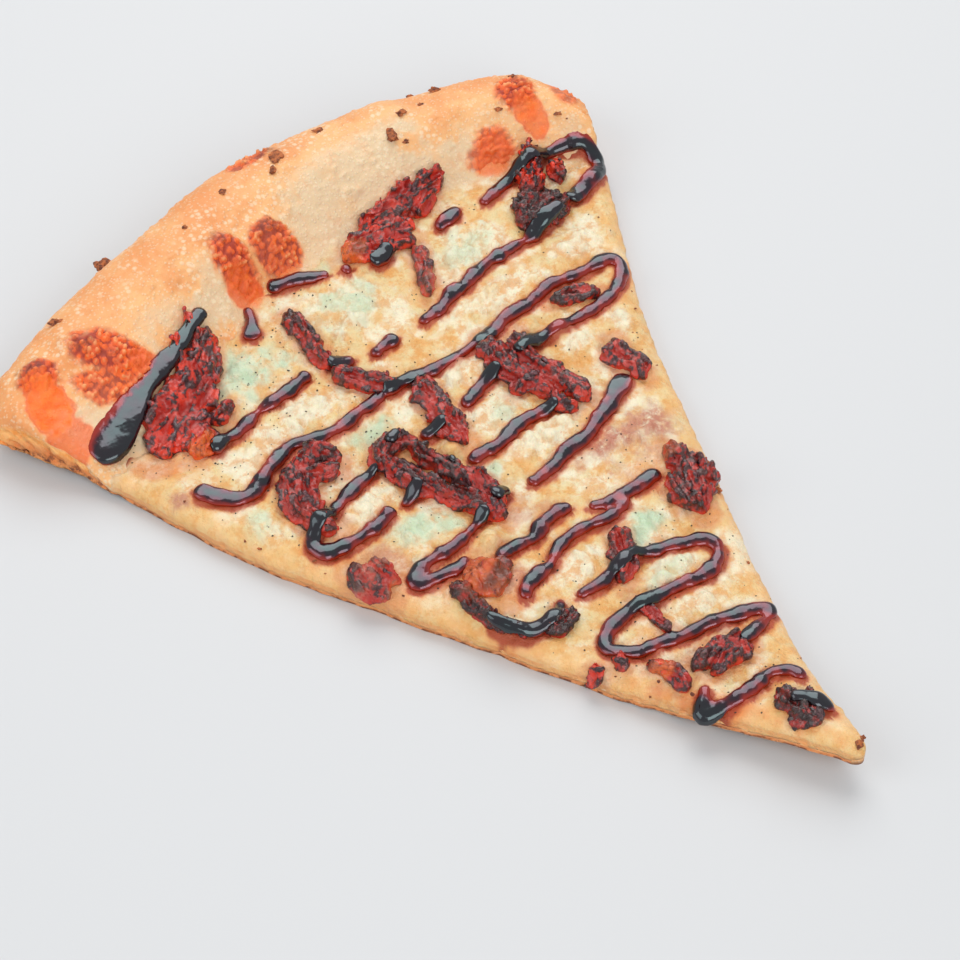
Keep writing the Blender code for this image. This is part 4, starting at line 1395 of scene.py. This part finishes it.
@dataclass
class Tomatoes:
    """The strips and lumps of sun-dried tomato."""

    strips: tuple = STRIPS
    ring: int = 26
    step: float = 1.0
    voxel: float = 0.5
    sink: float = 0.6
    droop: float = 1.2
    climb: float = 2.5
    lift: float = 0.1
    crease_size: float = 2.7
    crease_depth: float = 0.95
    fine_size: float = 1.7
    fine_depth: float = 0.22
    fuzz_size: float = 0.9

    def path(self) -> Array:
        """The points of the wet strips' runs, as rows of (x, y, width)."""
        wet = [strip for strip in self.strips if strip.tone is not Tone.CHARRED]
        return np.concatenate([strip.path(self.step) for strip in wet])

    def lump(self, strip: Strip, run: tuple, number: int, ground: Ground) -> bpy.types.Object:
        """One run of a strip as a closed, folded body."""
        path = spline(run, self.step)
        cross = crossing(path)
        taper = np.sqrt(from_ends(path, self.step))
        turn = np.linspace(0, 2 * math.pi, self.ring + 1)
        spread, rise = np.cos(turn), np.sin(turn)
        middle = level(path)
        left = 1 + 0.45 * ripple(middle, 3.4, 31.0 + number) + 0.40 * ripple(middle, 1.5, 33.0)
        right = 1 + 0.45 * ripple(middle, 3.4, 41.0 + number) + 0.40 * ripple(middle, 1.5, 43.0)
        wide = np.where(spread[None, :] < 0, left[:, None], right[:, None])
        offset = spread[None, :] * wide * (path[:, 2] / 2 * taper)[:, None]
        table = np.empty((len(path), self.ring + 1, 3))
        table[..., :2] = path[:, None, :2] + cross[:, None, :] * offset[..., None]
        here = ground.heights(path)[:, None]
        floor = np.clip(ground.heights(table[..., :2]), here - self.droop, here + self.climb)
        folds = 1 - 0.55 * np.abs(np.sin(1.5 * offset + 2.6 * ripple(middle, 5.0, 51.0)[:, None] + number))
        folds = folds * (1 + 0.35 * ripple(middle, 3.0, 53.0 + number)[:, None])
        tall = strip.height * (0.35 + 0.65 * taper)[:, None] * folds
        up = np.clip(rise, 0, 1)[None, :] ** 0.7 * tall
        table[..., 2] = floor + np.where(rise[None, :] > 0, up, rise[None, :] * self.sink) + self.lift
        return sealed(strip.node, table)

    def build(self, strip: Strip, ground: Ground, finish: bpy.types.Material) -> bpy.types.Object:
        """Make one piece of tomato.

        Args:
            strip: Which piece.
            ground: What it lies on.
            finish: The tomato's material.

        Returns:
            The finished piece.
        """
        parts = [self.lump(strip, run, number, ground) for number, run in enumerate(strip.runs)]
        made = merged("dried_" + strip.node, parts, self.voxel)
        apply_modifiers(made)
        self.wrinkle(made, strip, ground)
        slot = "charred_tomato" if strip.tone is Tone.CHARRED else "dried_tomato"
        dress(made, finish, slot, "tomato_" + strip.node)
        return made

    def along(self, points: Array, strip: Strip) -> Array:
        """Points laid out along a strip: the way along it shortened, so that creases run lengthwise."""
        path = strip.path(self.step)
        tree = path_tree(path)
        nearest = np.array([tree.find((x, y, 0.0))[1] for x, y, _ in points.tolist()])
        cross = crossing(path)[nearest]
        aside = ((points[:, :2] - path[nearest, :2]) * cross).sum(axis=1)
        return np.stack([nearest * 0.24, aside, points[:, 2]], axis=1)

    def wrinkle(self, made: bpy.types.Object, strip: Strip, ground: Ground) -> None:
        """Crease a piece's skin and paint its ridges, its bright wet sides and its char."""
        points = positions(made)
        laid = self.along(points, strip)
        creases = 1 - 2.6 * np.abs(ripple(laid, self.crease_size, 61.0))
        fine = 1 - 2.4 * np.abs(ripple(points, self.fine_size, 63.0))
        fuzz = turbulence(points, self.fuzz_size, 65.0, 2)
        fresh, char, pink = strip.tone.value
        above = np.clip((points[:, 2] - ground.heights(points)) / strip.height, 0.0, 1.0)
        move = self.crease_depth * creases + self.fine_depth * fine + (0.08 + 0.6 * char) * fuzz - 0.5
        move *= (0.35 + 0.65 * smooth(above * 2.5)) * (1.07 - 0.7 * pink)
        move_to(made, points + normals(made) * move[:, None])
        bpy.ops.object.shade_smooth()
        x, y = points[:, 0], points[:, 1]
        warp = 0.4 * ripple(points, 2.5, 73.0)
        low = smooth(1.1 - 1.9 * above)
        fresh = fresh * smooth(0.25 + 1.1 * ripple(points, 5.0, 67.0) + 0.3 * creases)
        fresh = fresh + 0.60 * low * (1 - 0.8 * char)
        bright = masks(BRIGHT_SPOTS, x, y, warp, 0.6)
        char = char * smooth(0.9 + 0.7 * ripple(points, 4.0, 69.0))
        char = char + 0.7 * smooth(2.2 * ripple(points, 6.0, 75.0) - 0.35)
        char = np.maximum(char * smooth(above * 3), masks(CHAR_SPOTS, x, y, warp, 0.6))
        paint(made, "ridge", 0.14 + 0.40 * creases + 0.28 * fine)
        paint(made, "fresh", np.maximum(fresh, bright))
        paint(made, "char", char * (1 - bright))
        paint(made, "pink", pink * smooth(0.5 + 0.9 * ripple(points, 4.5, 71.0)))
        paint(made, "orange", masks(ORANGE_SPOTS, x, y, warp, 0.6))


GLAZE_WIDTH = 3.9
UPPER_STRANDS = (
    ((-81, 184.5, 7.5), (-77, 187, 9.6), (-71.5, 189.8, 10), (-65.5, 192.6, 8), (-59, 195.6, 5.6),
     (-52, 198.5, 5.6), (-45, 201, 4.6), (-38, 204.8, 4.4), (-31.5, 208, 4)),
    ((-20, 205.5, 2.6), (-21.5, 201.5, 3.2), (-24.2, 197.5, 5.2), (-25.4, 195.2, 5.4)),
    ((-12, 207.3), (-3.7, 205.5, 4.4), (2.0, 203, 3.4), (4.7, 201.6, 4.4)),
    ((7.3, 200.7), (10.5, 199.2, 4.2)),
    ((15, 197.3, 3.8), (19, 197.2, 4.8), (23, 198.6, 3.4)),
    ((37, 196.6, 4.2), (42, 197.4, 4.8), (47, 198.6, 3.8)),
    ((52.5, 196, 3), (57, 197, 4), (63, 198.4), (73, 199.5), (82, 199), (88.5, 195.5, 4.4), (89, 190.5, 4),
     (86.6, 186.3, 4.4), (82, 184.2, 4.8), (76.5, 182.8, 5), (71, 181.6, 4)),
    ((68, 180.8), (62, 180, 4.4), (55, 178.8), (52.7, 178.8, 2.4), (50.5, 179), (44, 178.8, 4), (40, 178.7),
     (34, 177.2), (30, 175.8, 4.2), (24, 175.2), (18.7, 173.2), (11.6, 172.7)),
    ((4.2, 172.6), (-1, 172.2, 4), (-5.6, 171.2)),
    ((-9.2, 173.5), (-12.5, 174.2), (-17, 175.2)),
    ((-21.5, 177), (-26, 176, 4), (-30, 175), (-35, 174.6, 4.2), (-38.6, 174.4, 2.6), (-40, 174.2, 1.6),
     (-41.4, 173.9, 2.6), (-46.6, 172.3, 4.2), (-53, 171.6, 3.8), (-57.5, 169.8, 3)),
    ((-68, 163.5, 5), (-66.3, 160, 5.2), (-64.4, 157, 5), (-61.5, 154, 5), (-57, 153.4, 4.6), (-50, 156.6),
     (-43, 159.7, 4), (-39.5, 160), (-36, 158.2), (-29, 156.6, 4), (-21.7, 157.7), (-12, 158.7)),
    ((-12, 158.7), (-5, 158.6), (0, 158, 4.2), (6, 157), (12, 157, 3), (19, 157.6), (25, 158.5), (30, 160),
     (37, 160.3), (43, 161), (47, 162, 4), (51.4, 161), (58.6, 160), (64.5, 159.4, 4.2), (67, 157.6, 4.2),
     (65.5, 153.8, 3.8), (60, 149.8), (55, 148.2, 4.2), (50, 147.5), (40, 147.5), (30, 148), (22, 147)),
)
LOWER_STRANDS = (
    ((16.5, 146.7, 3), (11, 145.6, 4), (5.5, 144), (0.6, 142.3)),
    ((-6, 141, 3.2), (-11, 140.6, 4.8), (-14.5, 141.2, 4.6)),
    ((-19, 144), (-24, 142.5, 4)),
    ((-29.5, 139.2, 3), (-36, 138.7, 4), (-42, 137), (-48, 135), (-52.6, 133.8, 4), (-56.6, 130.6, 4.6),
     (-56.4, 127.2, 4.8), (-52.6, 125.5, 4.6), (-47, 125), (-40, 125.5, 4), (-34.6, 127)),
    ((-32.5, 126.8, 2.6), (-30, 126.6, 3.2), (-25, 128.3, 4)),
    ((-15.3, 129.5, 3.6), (-13, 128.3, 3)),
    ((-10.4, 126.2, 3), (-7, 127.3), (-1, 126.6, 4), (5.5, 128.3), (10, 128.7, 4), (14.4, 128),
     (19.3, 127.3, 3)),
    ((39.5, 125.5, 4.6), (37, 122.8, 6), (33.5, 121.4, 5), (28.8, 119), (23.8, 117.3, 4.2), (18.8, 115),
     (14.4, 114.5), (11, 114.5, 4), (6, 113), (2, 112.3, 4), (-4, 112, 3)),
    ((-9, 113.4, 3.2), (-15.5, 112.2, 4.4)),
    ((-18, 111), (-23, 110, 3), (-30, 108.3, 3.4), (-38.8, 108.4, 4), (-43, 107.4, 4.4), (-45.2, 104.8, 4.6),
     (-42.3, 103.6, 4.2), (-38.8, 102.8), (-34.6, 102.4), (-30.5, 103.8, 3)),
    ((-26.5, 98, 3), (-21.5, 98.6, 4.2), (-14.6, 98, 4), (-9.7, 100), (-4, 100.7, 4.2), (-0.5, 99.5, 3)),
    ((2, 96.9, 3), (6, 95.2), (12, 94.7, 4), (16.6, 94.2, 4.6), (21, 94.4, 4.8), (23.6, 93.2, 3.6)),
    ((12, 93, 2.4), (8, 91.5, 3), (2.7, 91.4), (-2, 92.4), (-7.7, 92.8, 4), (-12.5, 91.7), (-16.7, 89, 3),
     (-20.8, 88.3), (-26.3, 87, 3.8), (-29, 84, 2.8)),
    ((-19, 77.5, 3), (-13.5, 77), (-9.7, 77, 4), (-4.8, 77.6), (0, 78, 3.4), (4.4, 76.3), (8.8, 74.8, 4),
     (13.7, 72.6, 4), (17, 70.6, 4), (17.4, 67.4, 4), (15, 64.6), (10.6, 63, 4), (5.7, 63.4), (-0.5, 64.6, 4),
     (-9.7, 66), (-14.7, 66), (-19, 65.3, 4), (-22.7, 63.4, 4), (-24.2, 60.8, 4), (-22.7, 58, 4),
     (-19, 55.5, 4), (-14, 54.2), (-9.2, 52.4), (-4.8, 51.8, 4), (0.7, 50.6), (5.7, 48.7, 4), (10.6, 47),
     (13.2, 45.2, 3.6), (10.5, 43.2, 3), (4.4, 42), (-0.5, 40.9, 3)),
    ((-15.3, 37.6, 3), (-18.4, 34.7, 4), (-20.2, 32.4, 5), (-15.3, 30.2, 4), (-11, 29.5), (-6.7, 29.5, 4),
     (-2.3, 30), (1.2, 28.2), (2.6, 25.6), (1.6, 23.2, 2.6)),
    ((-6.2, 20, 3), (-3.4, 18.4, 4), (-1.2, 15.2, 4.4), (0.4, 11.6, 3)),
    ((-40.2, 86, 2.6), (-38, 80.5, 3.6), (-34.5, 76.6, 4.2), (-29.5, 75.4, 3.8), (-25, 77, 3.2),
     (-22.4, 79.4, 2.6)),
)


@dataclass
class Glaze:
    """The thick glaze, poured in rounded ribbons that run together where they meet."""

    step: float = 0.7
    ring: int = 24
    steepness: float = 0.43
    level: float = 0.85
    deepest: float = 2.3
    sink: float = 0.55
    voxel: float = 0.42
    smoothing: int = 14
    edge_drop: float = 1.2
    pool_width: float = 7.0
    pool_blur: tuple[int, int] = (14, 6)
    settled_width: float = 5.0
    settle_share: float = 0.9
    settle_times: int = 60
    waver_height: float = 0.09
    darkest_depth: float = 1.8

    def full(self, strand: tuple) -> Array:
        """A strand's curve as rows of (x, y, width)."""
        return spline([(*point, GLAZE_WIDTH)[:3] for point in strand], self.step)

    def path(self) -> Array:
        """The points of all the strands, as rows of (x, y, width)."""
        found = [self.full(strand) for strand in (*UPPER_STRANDS, *LOWER_STRANDS)]
        for path in found:
            path[:, 2] *= self.taper(path)
        return np.concatenate(found)

    def taper(self, path: Array) -> Array:
        """How a strand rounds off at its two ends, as shares of its width."""
        inward = 1 - from_ends(path, self.step)
        return np.sqrt(1 - inward * inward)

    def ribbon(self, strand: tuple, ground: Ground) -> bpy.types.Object:
        """One strand as a closed, rounded ribbon that drapes over what it lies on."""
        path = self.full(strand)
        cross = crossing(path)
        middle = level(path)
        calm = np.clip(4.0 / path[:, 2], 0.2, 1.0) ** 2
        waver = 1 + calm * (0.36 * ripple(middle, 4.5, 81.0) + 0.24 * ripple(middle, 2.0, 83.0))
        half = path[:, 2] / 2 * self.taper(path) * waver * 1.06
        turn = np.linspace(0, 2 * math.pi, self.ring + 1)
        spread, rise = np.cos(turn), np.sin(turn)
        table = np.empty((len(path), self.ring + 1, 3))
        table[..., :2] = path[:, None, :2] + cross[:, None, :] * (spread[None, :] * half[:, None])[..., None]
        here = ground.heights(path, missing=math.nan)
        held = np.flatnonzero(~np.isnan(here))
        here = np.interp(np.arange(len(path)), held, here[held])
        floor = np.nan_to_num(ground.heights(table[..., :2], missing=math.nan), nan=-50.0)
        floor = np.maximum(floor, here[:, None] - self.edge_drop)
        padded = np.pad(floor, ((1, 1), (0, 0)), mode="edge")
        floor = np.maximum(floor, np.maximum(padded[:-2], padded[2:]) - 0.25)
        pool = path[:, 2].max() > self.pool_width
        along, across = self.pool_blur
        floor = blurred(blurred(floor, along).T, across).T if pool else blurred(floor, 1)
        even = blurred(floor.mean(axis=1, keepdims=True), 30 if pool else 2)
        tall = self.steepness * 2 * half[:, None] * (1 + 0.3 * ripple(middle, 6.0, 85.0))[:, None]
        tall = self.deepest * np.tanh(tall / self.deepest)
        crown = np.clip(rise, 0, 1)[None, :] ** (0.4 + 0.45 * calm)[:, None]
        leveled = (1 - (1 - self.level) * calm)[:, None] * (even - floor)
        up = crown * tall + np.maximum(crown * leveled, -crown * tall * 0.75)
        table[..., 2] = floor + np.where(rise[None, :] > 0, up, rise[None, :] * self.sink)
        return sealed("ribbon", table)

    def build(
        self, name: str, strands: tuple, grounds: tuple, finish: bpy.types.Material
    ) -> bpy.types.Object:
        """Make one part of the glaze.

        Args:
            name: The piece's name.
            strands: Its strands.
            grounds: What they lie on, with the tomatoes and without them.
            finish: The glaze's material.

        Returns:
            The finished piece.
        """
        parts = [self.ribbon(strand, grounds[0]) for strand in strands]
        made = merged(name, parts, self.voxel)
        even = made.modifiers.new("even", "SMOOTH")
        even.factor, even.iterations = 0.6, self.smoothing
        apply_modifiers(made)
        bpy.ops.object.shade_smooth()
        points = positions(made)
        move_to(made, points + normals(made) * self.waver_height * ripple(points, 3.4, 87.0)[:, None])
        wide = np.concatenate([self.full(strand) for strand in strands])
        wide = wide[wide[:, 2] > self.settled_width]
        inward = smooth(-nearness(wide, level(points)) / 2.0 - 0.1)
        upward = smooth(normals(made)[:, 2] * 2 - 0.4)
        settle(made, self.settle_share * inward * upward, self.settle_times)
        paint(made, "depth", (points[:, 2] - grounds[1].heights(points)) / self.darkest_depth)
        dress(made, finish, "charred_tomato")
        return made


@dataclass
class Specks:
    """Ground pepper on the cheese and burnt crumbs on the crust, each kind one piece."""

    plan: Plan
    seed: int = 7
    highest: float = 22.1
    height_beside: float = 12.0
    pepper_count: int = 620
    pepper_reach: tuple[float, float] = (20, 205)
    pepper_side: float = 0.93
    pepper_size: tuple[float, float] = (0.25, 0.65)
    pepper_flat: float = 0.7
    crumb_count: int = 46
    crumb_reach: tuple[float, float] = (30, 225)
    crumb_side: tuple[float, float] = (0.90, 0.98)
    crumb_size: tuple[float, float] = (0.3, 1.0)
    crumb_flat: float = 0.36
    chips: tuple = (
        (-42, 238.5, 5.0), (-65.8, 224, 3.2), (-22, 228, 1.6), (13.3, 234.5, 4.0), (9.5, 231.5, 2.6),
        (44, 223.7, 4.2), (46.7, 220.8, 1.8), (50.8, 228, 2.6), (57.8, 228, 1.6), (65.8, 231, 3.2),
        (87.5, 204.5, 2.0), (74, 214, 2.2), (86, 222, 2.6), (61, 236, 2.2), (30, 238, 2.6), (-6, 233, 2.0),
        (33.5, 88, 2.4), (31, 81, 2.2), (-1.4, 2.0, 2.4), (0.6, 3.2, 1.6),
    )

    def grains(self, name: str, spots: list, ground: Ground, flat: float, levels: int) -> bpy.types.Object:
        """Rough little lumps in one mesh.

        Args:
            name: The piece's name.
            spots: The lumps' places and sizes, as rows of (x, y, size).
            ground: What they lie on.
            flat: Their height as a share of their size.
            levels: How finely each is modelled.

        Returns:
            The piece, still without its finish.
        """
        source = bmesh.new()
        bmesh.ops.create_icosphere(source, subdivisions=levels, radius=0.5)
        shape = np.array([vert.co[:] for vert in source.verts])
        faces = np.array([[vert.index for vert in face.verts] for face in source.faces])
        source.free()
        base = ground.heights(np.array(spots)[:, :2], missing=self.height_beside)
        points, rings = [], []
        for i, (x, y, size) in enumerate(spots):
            rough = 1 + 0.9 * turbulence(shape, 0.45, 91.0 + i, 2)[:, None]
            turn = np.array(Vector((0, 0, 1)).rotation_difference(noise.random_unit_vector()).to_matrix())
            lump = (shape * rough * np.array([1.0, 0.7, 1.0])) @ turn.T * size
            lump[:, 2] *= flat
            lump += np.array([x, y, base[i] + size * flat * 0.1])
            lump[:, 2] = np.minimum(lump[:, 2], self.highest)
            points.append(lump)
            rings.append(faces + i * len(shape))
        mesh = bpy.data.meshes.new(name)
        mesh.from_pydata(PLAN.place(np.concatenate(points)).tolist(), [], np.concatenate(rings).tolist())
        made = bpy.data.objects.new(name, mesh)
        bpy.context.scene.collection.objects.link(made)
        return made

    def build(self, ground: Ground, pepper: bpy.types.Material, burnt: bpy.types.Material) -> None:
        """Scatter the pepper and the crumbs."""
        noise.seed_set(self.seed)
        draw = np.random.default_rng(self.seed)
        spots = []
        while len(spots) < self.pepper_count:
            reach, side = draw.uniform(*self.pepper_reach), draw.uniform(-self.pepper_side, self.pepper_side)
            x, y = self.plan.spot(np.array(reach), np.array(side))
            if draw.random() < 0.16 + 0.84 * float(smooth((y - 110) / 60) * smooth((25 - x) / 45)):
                spots.append((float(x), float(y), draw.uniform(*self.pepper_size)))
        made = self.grains("ground_pepper", spots, ground, self.pepper_flat, 1)
        dress(made, pepper, "charred_tomato")
        crumbs = list(self.chips)
        while len(crumbs) < self.crumb_count:
            reach = draw.uniform(*self.crumb_reach)
            side = draw.choice([-1.0, 1.0]) * draw.uniform(*self.crumb_side)
            x, y = self.plan.spot(np.array(reach), np.array(side))
            crumbs.append((float(x), float(y), draw.uniform(*self.crumb_size)))
        made = self.grains("burnt_crumbs", crumbs, ground, self.crumb_flat, 3)
        dress(made, burnt, "charred_tomato")


@dataclass
class Stage:
    """The plain floor, the soft studio light and the camera."""

    camera_place: tuple = (-0.3096, -0.3431, 0.5028)
    camera_aim: tuple = (-0.0138, -0.0016, 0.006)
    camera_roll: float = math.radians(0.553)
    field_of_view: float = math.radians(20.0)
    floor_size: float = 8.0
    floor_colour: Colour = (0.62, 0.63, 0.638)
    room_colour: Colour = (0.93, 0.96, 1.0)
    room_strength: float = 0.5
    panels: tuple = (
        ("back_panel", (0.62, 0.72, 1.03), 1.2, 12.5, (1.0, 0.985, 0.97)),
        ("left_panel", (-0.9, 0.35, 0.7), 0.8, 3.5, (1.0, 1.0, 1.0)),
        ("front_panel", (-0.3, -1.1, 0.8), 0.9, 8.5, (1.0, 0.975, 0.955)),
    )

    def floor(self) -> None:
        """A pale floor that the slice rests on."""
        deselect()
        bpy.ops.mesh.primitive_grid_add(x_subdivisions=8, y_subdivisions=8, size=self.floor_size)
        made = bpy.context.active_object
        made.name = "floor"
        s = Shader("pale_floor")
        s.set(Base_Color=self.floor_colour, Roughness=0.5)
        made.data.materials.append(s.material)

    def light(self, name: str, place: tuple, size: float, power: float, colour: Colour) -> None:
        """A soft panel of light aimed at the slice, its size in metres and its power in watts."""
        data = bpy.data.lights.new(name, "AREA")
        data.shape, data.size, data.energy, data.color = "SQUARE", size, power, colour
        made = bpy.data.objects.new(name, data)
        bpy.context.scene.collection.objects.link(made)
        made.location = place
        made.rotation_euler = (-Vector(place)).to_track_quat("-Z", "Y").to_euler()

    def camera(self) -> None:
        """A camera at the photograph's viewing angle."""
        data = bpy.data.cameras.new("view")
        data.sensor_width = data.sensor_height = 36.0
        data.sensor_fit = "HORIZONTAL"
        data.lens = 18.0 / math.tan(self.field_of_view / 2)
        made = bpy.data.objects.new("view", data)
        bpy.context.scene.collection.objects.link(made)
        made.location = self.camera_place
        look = (Vector(self.camera_aim) - made.location).to_track_quat("-Z", "Y")
        roll = Matrix.Rotation(self.camera_roll, 4, "Z")
        made.rotation_euler = (look.to_matrix().to_4x4() @ roll).to_euler()
        bpy.context.scene.camera = made

    def build(self) -> None:
        """Set the stage."""
        self.floor()
        for panel in self.panels:
            self.light(*panel)
        world = bpy.data.worlds.new("soft_room")
        world.use_nodes = True
        shade = world.node_tree.nodes["Background"]
        shade.inputs["Color"].default_value = (*self.room_colour, 1.0)
        shade.inputs["Strength"].default_value = self.room_strength
        bpy.context.scene.world = world
        bpy.context.scene.view_settings.view_transform = "Standard"
        self.camera()


def main() -> None:
    """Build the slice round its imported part."""
    logging.basicConfig(level=logging.INFO, format="%(name)s: %(message)s")
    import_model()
    Stage().build()
    tomatoes, glaze = Tomatoes(), Glaze()
    crust = Crust(PLAN).build(CrustFinish().make())
    cheese = Cheese(PLAN).build(CheeseFinish().make(), glaze.path(), tomatoes.path())
    bare = Ground([crust, cheese])
    finish = TomatoFinish().make()
    strips = [tomatoes.build(strip, bare, finish) for strip in tomatoes.strips]
    ground = Ground([crust, cheese, *strips])
    finish = GlazeFinish().make()
    glaze.build("glaze_upper", UPPER_STRANDS, (ground, bare), finish)
    glaze.build("glaze_lower", LOWER_STRANDS, (ground, bare), finish)
    pepper = SpeckFinish("ground_pepper", (0.10, 0.07, 0.04), (0.015, 0.012, 0.01), 0.3)
    burnt = SpeckFinish("burnt_crumb", (0.50, 0.14, 0.035), (0.10, 0.022, 0.010), 1.2)
    Specks(PLAN).build(ground, pepper.make(), burnt.make())


if __name__ == "__main__":
    main()
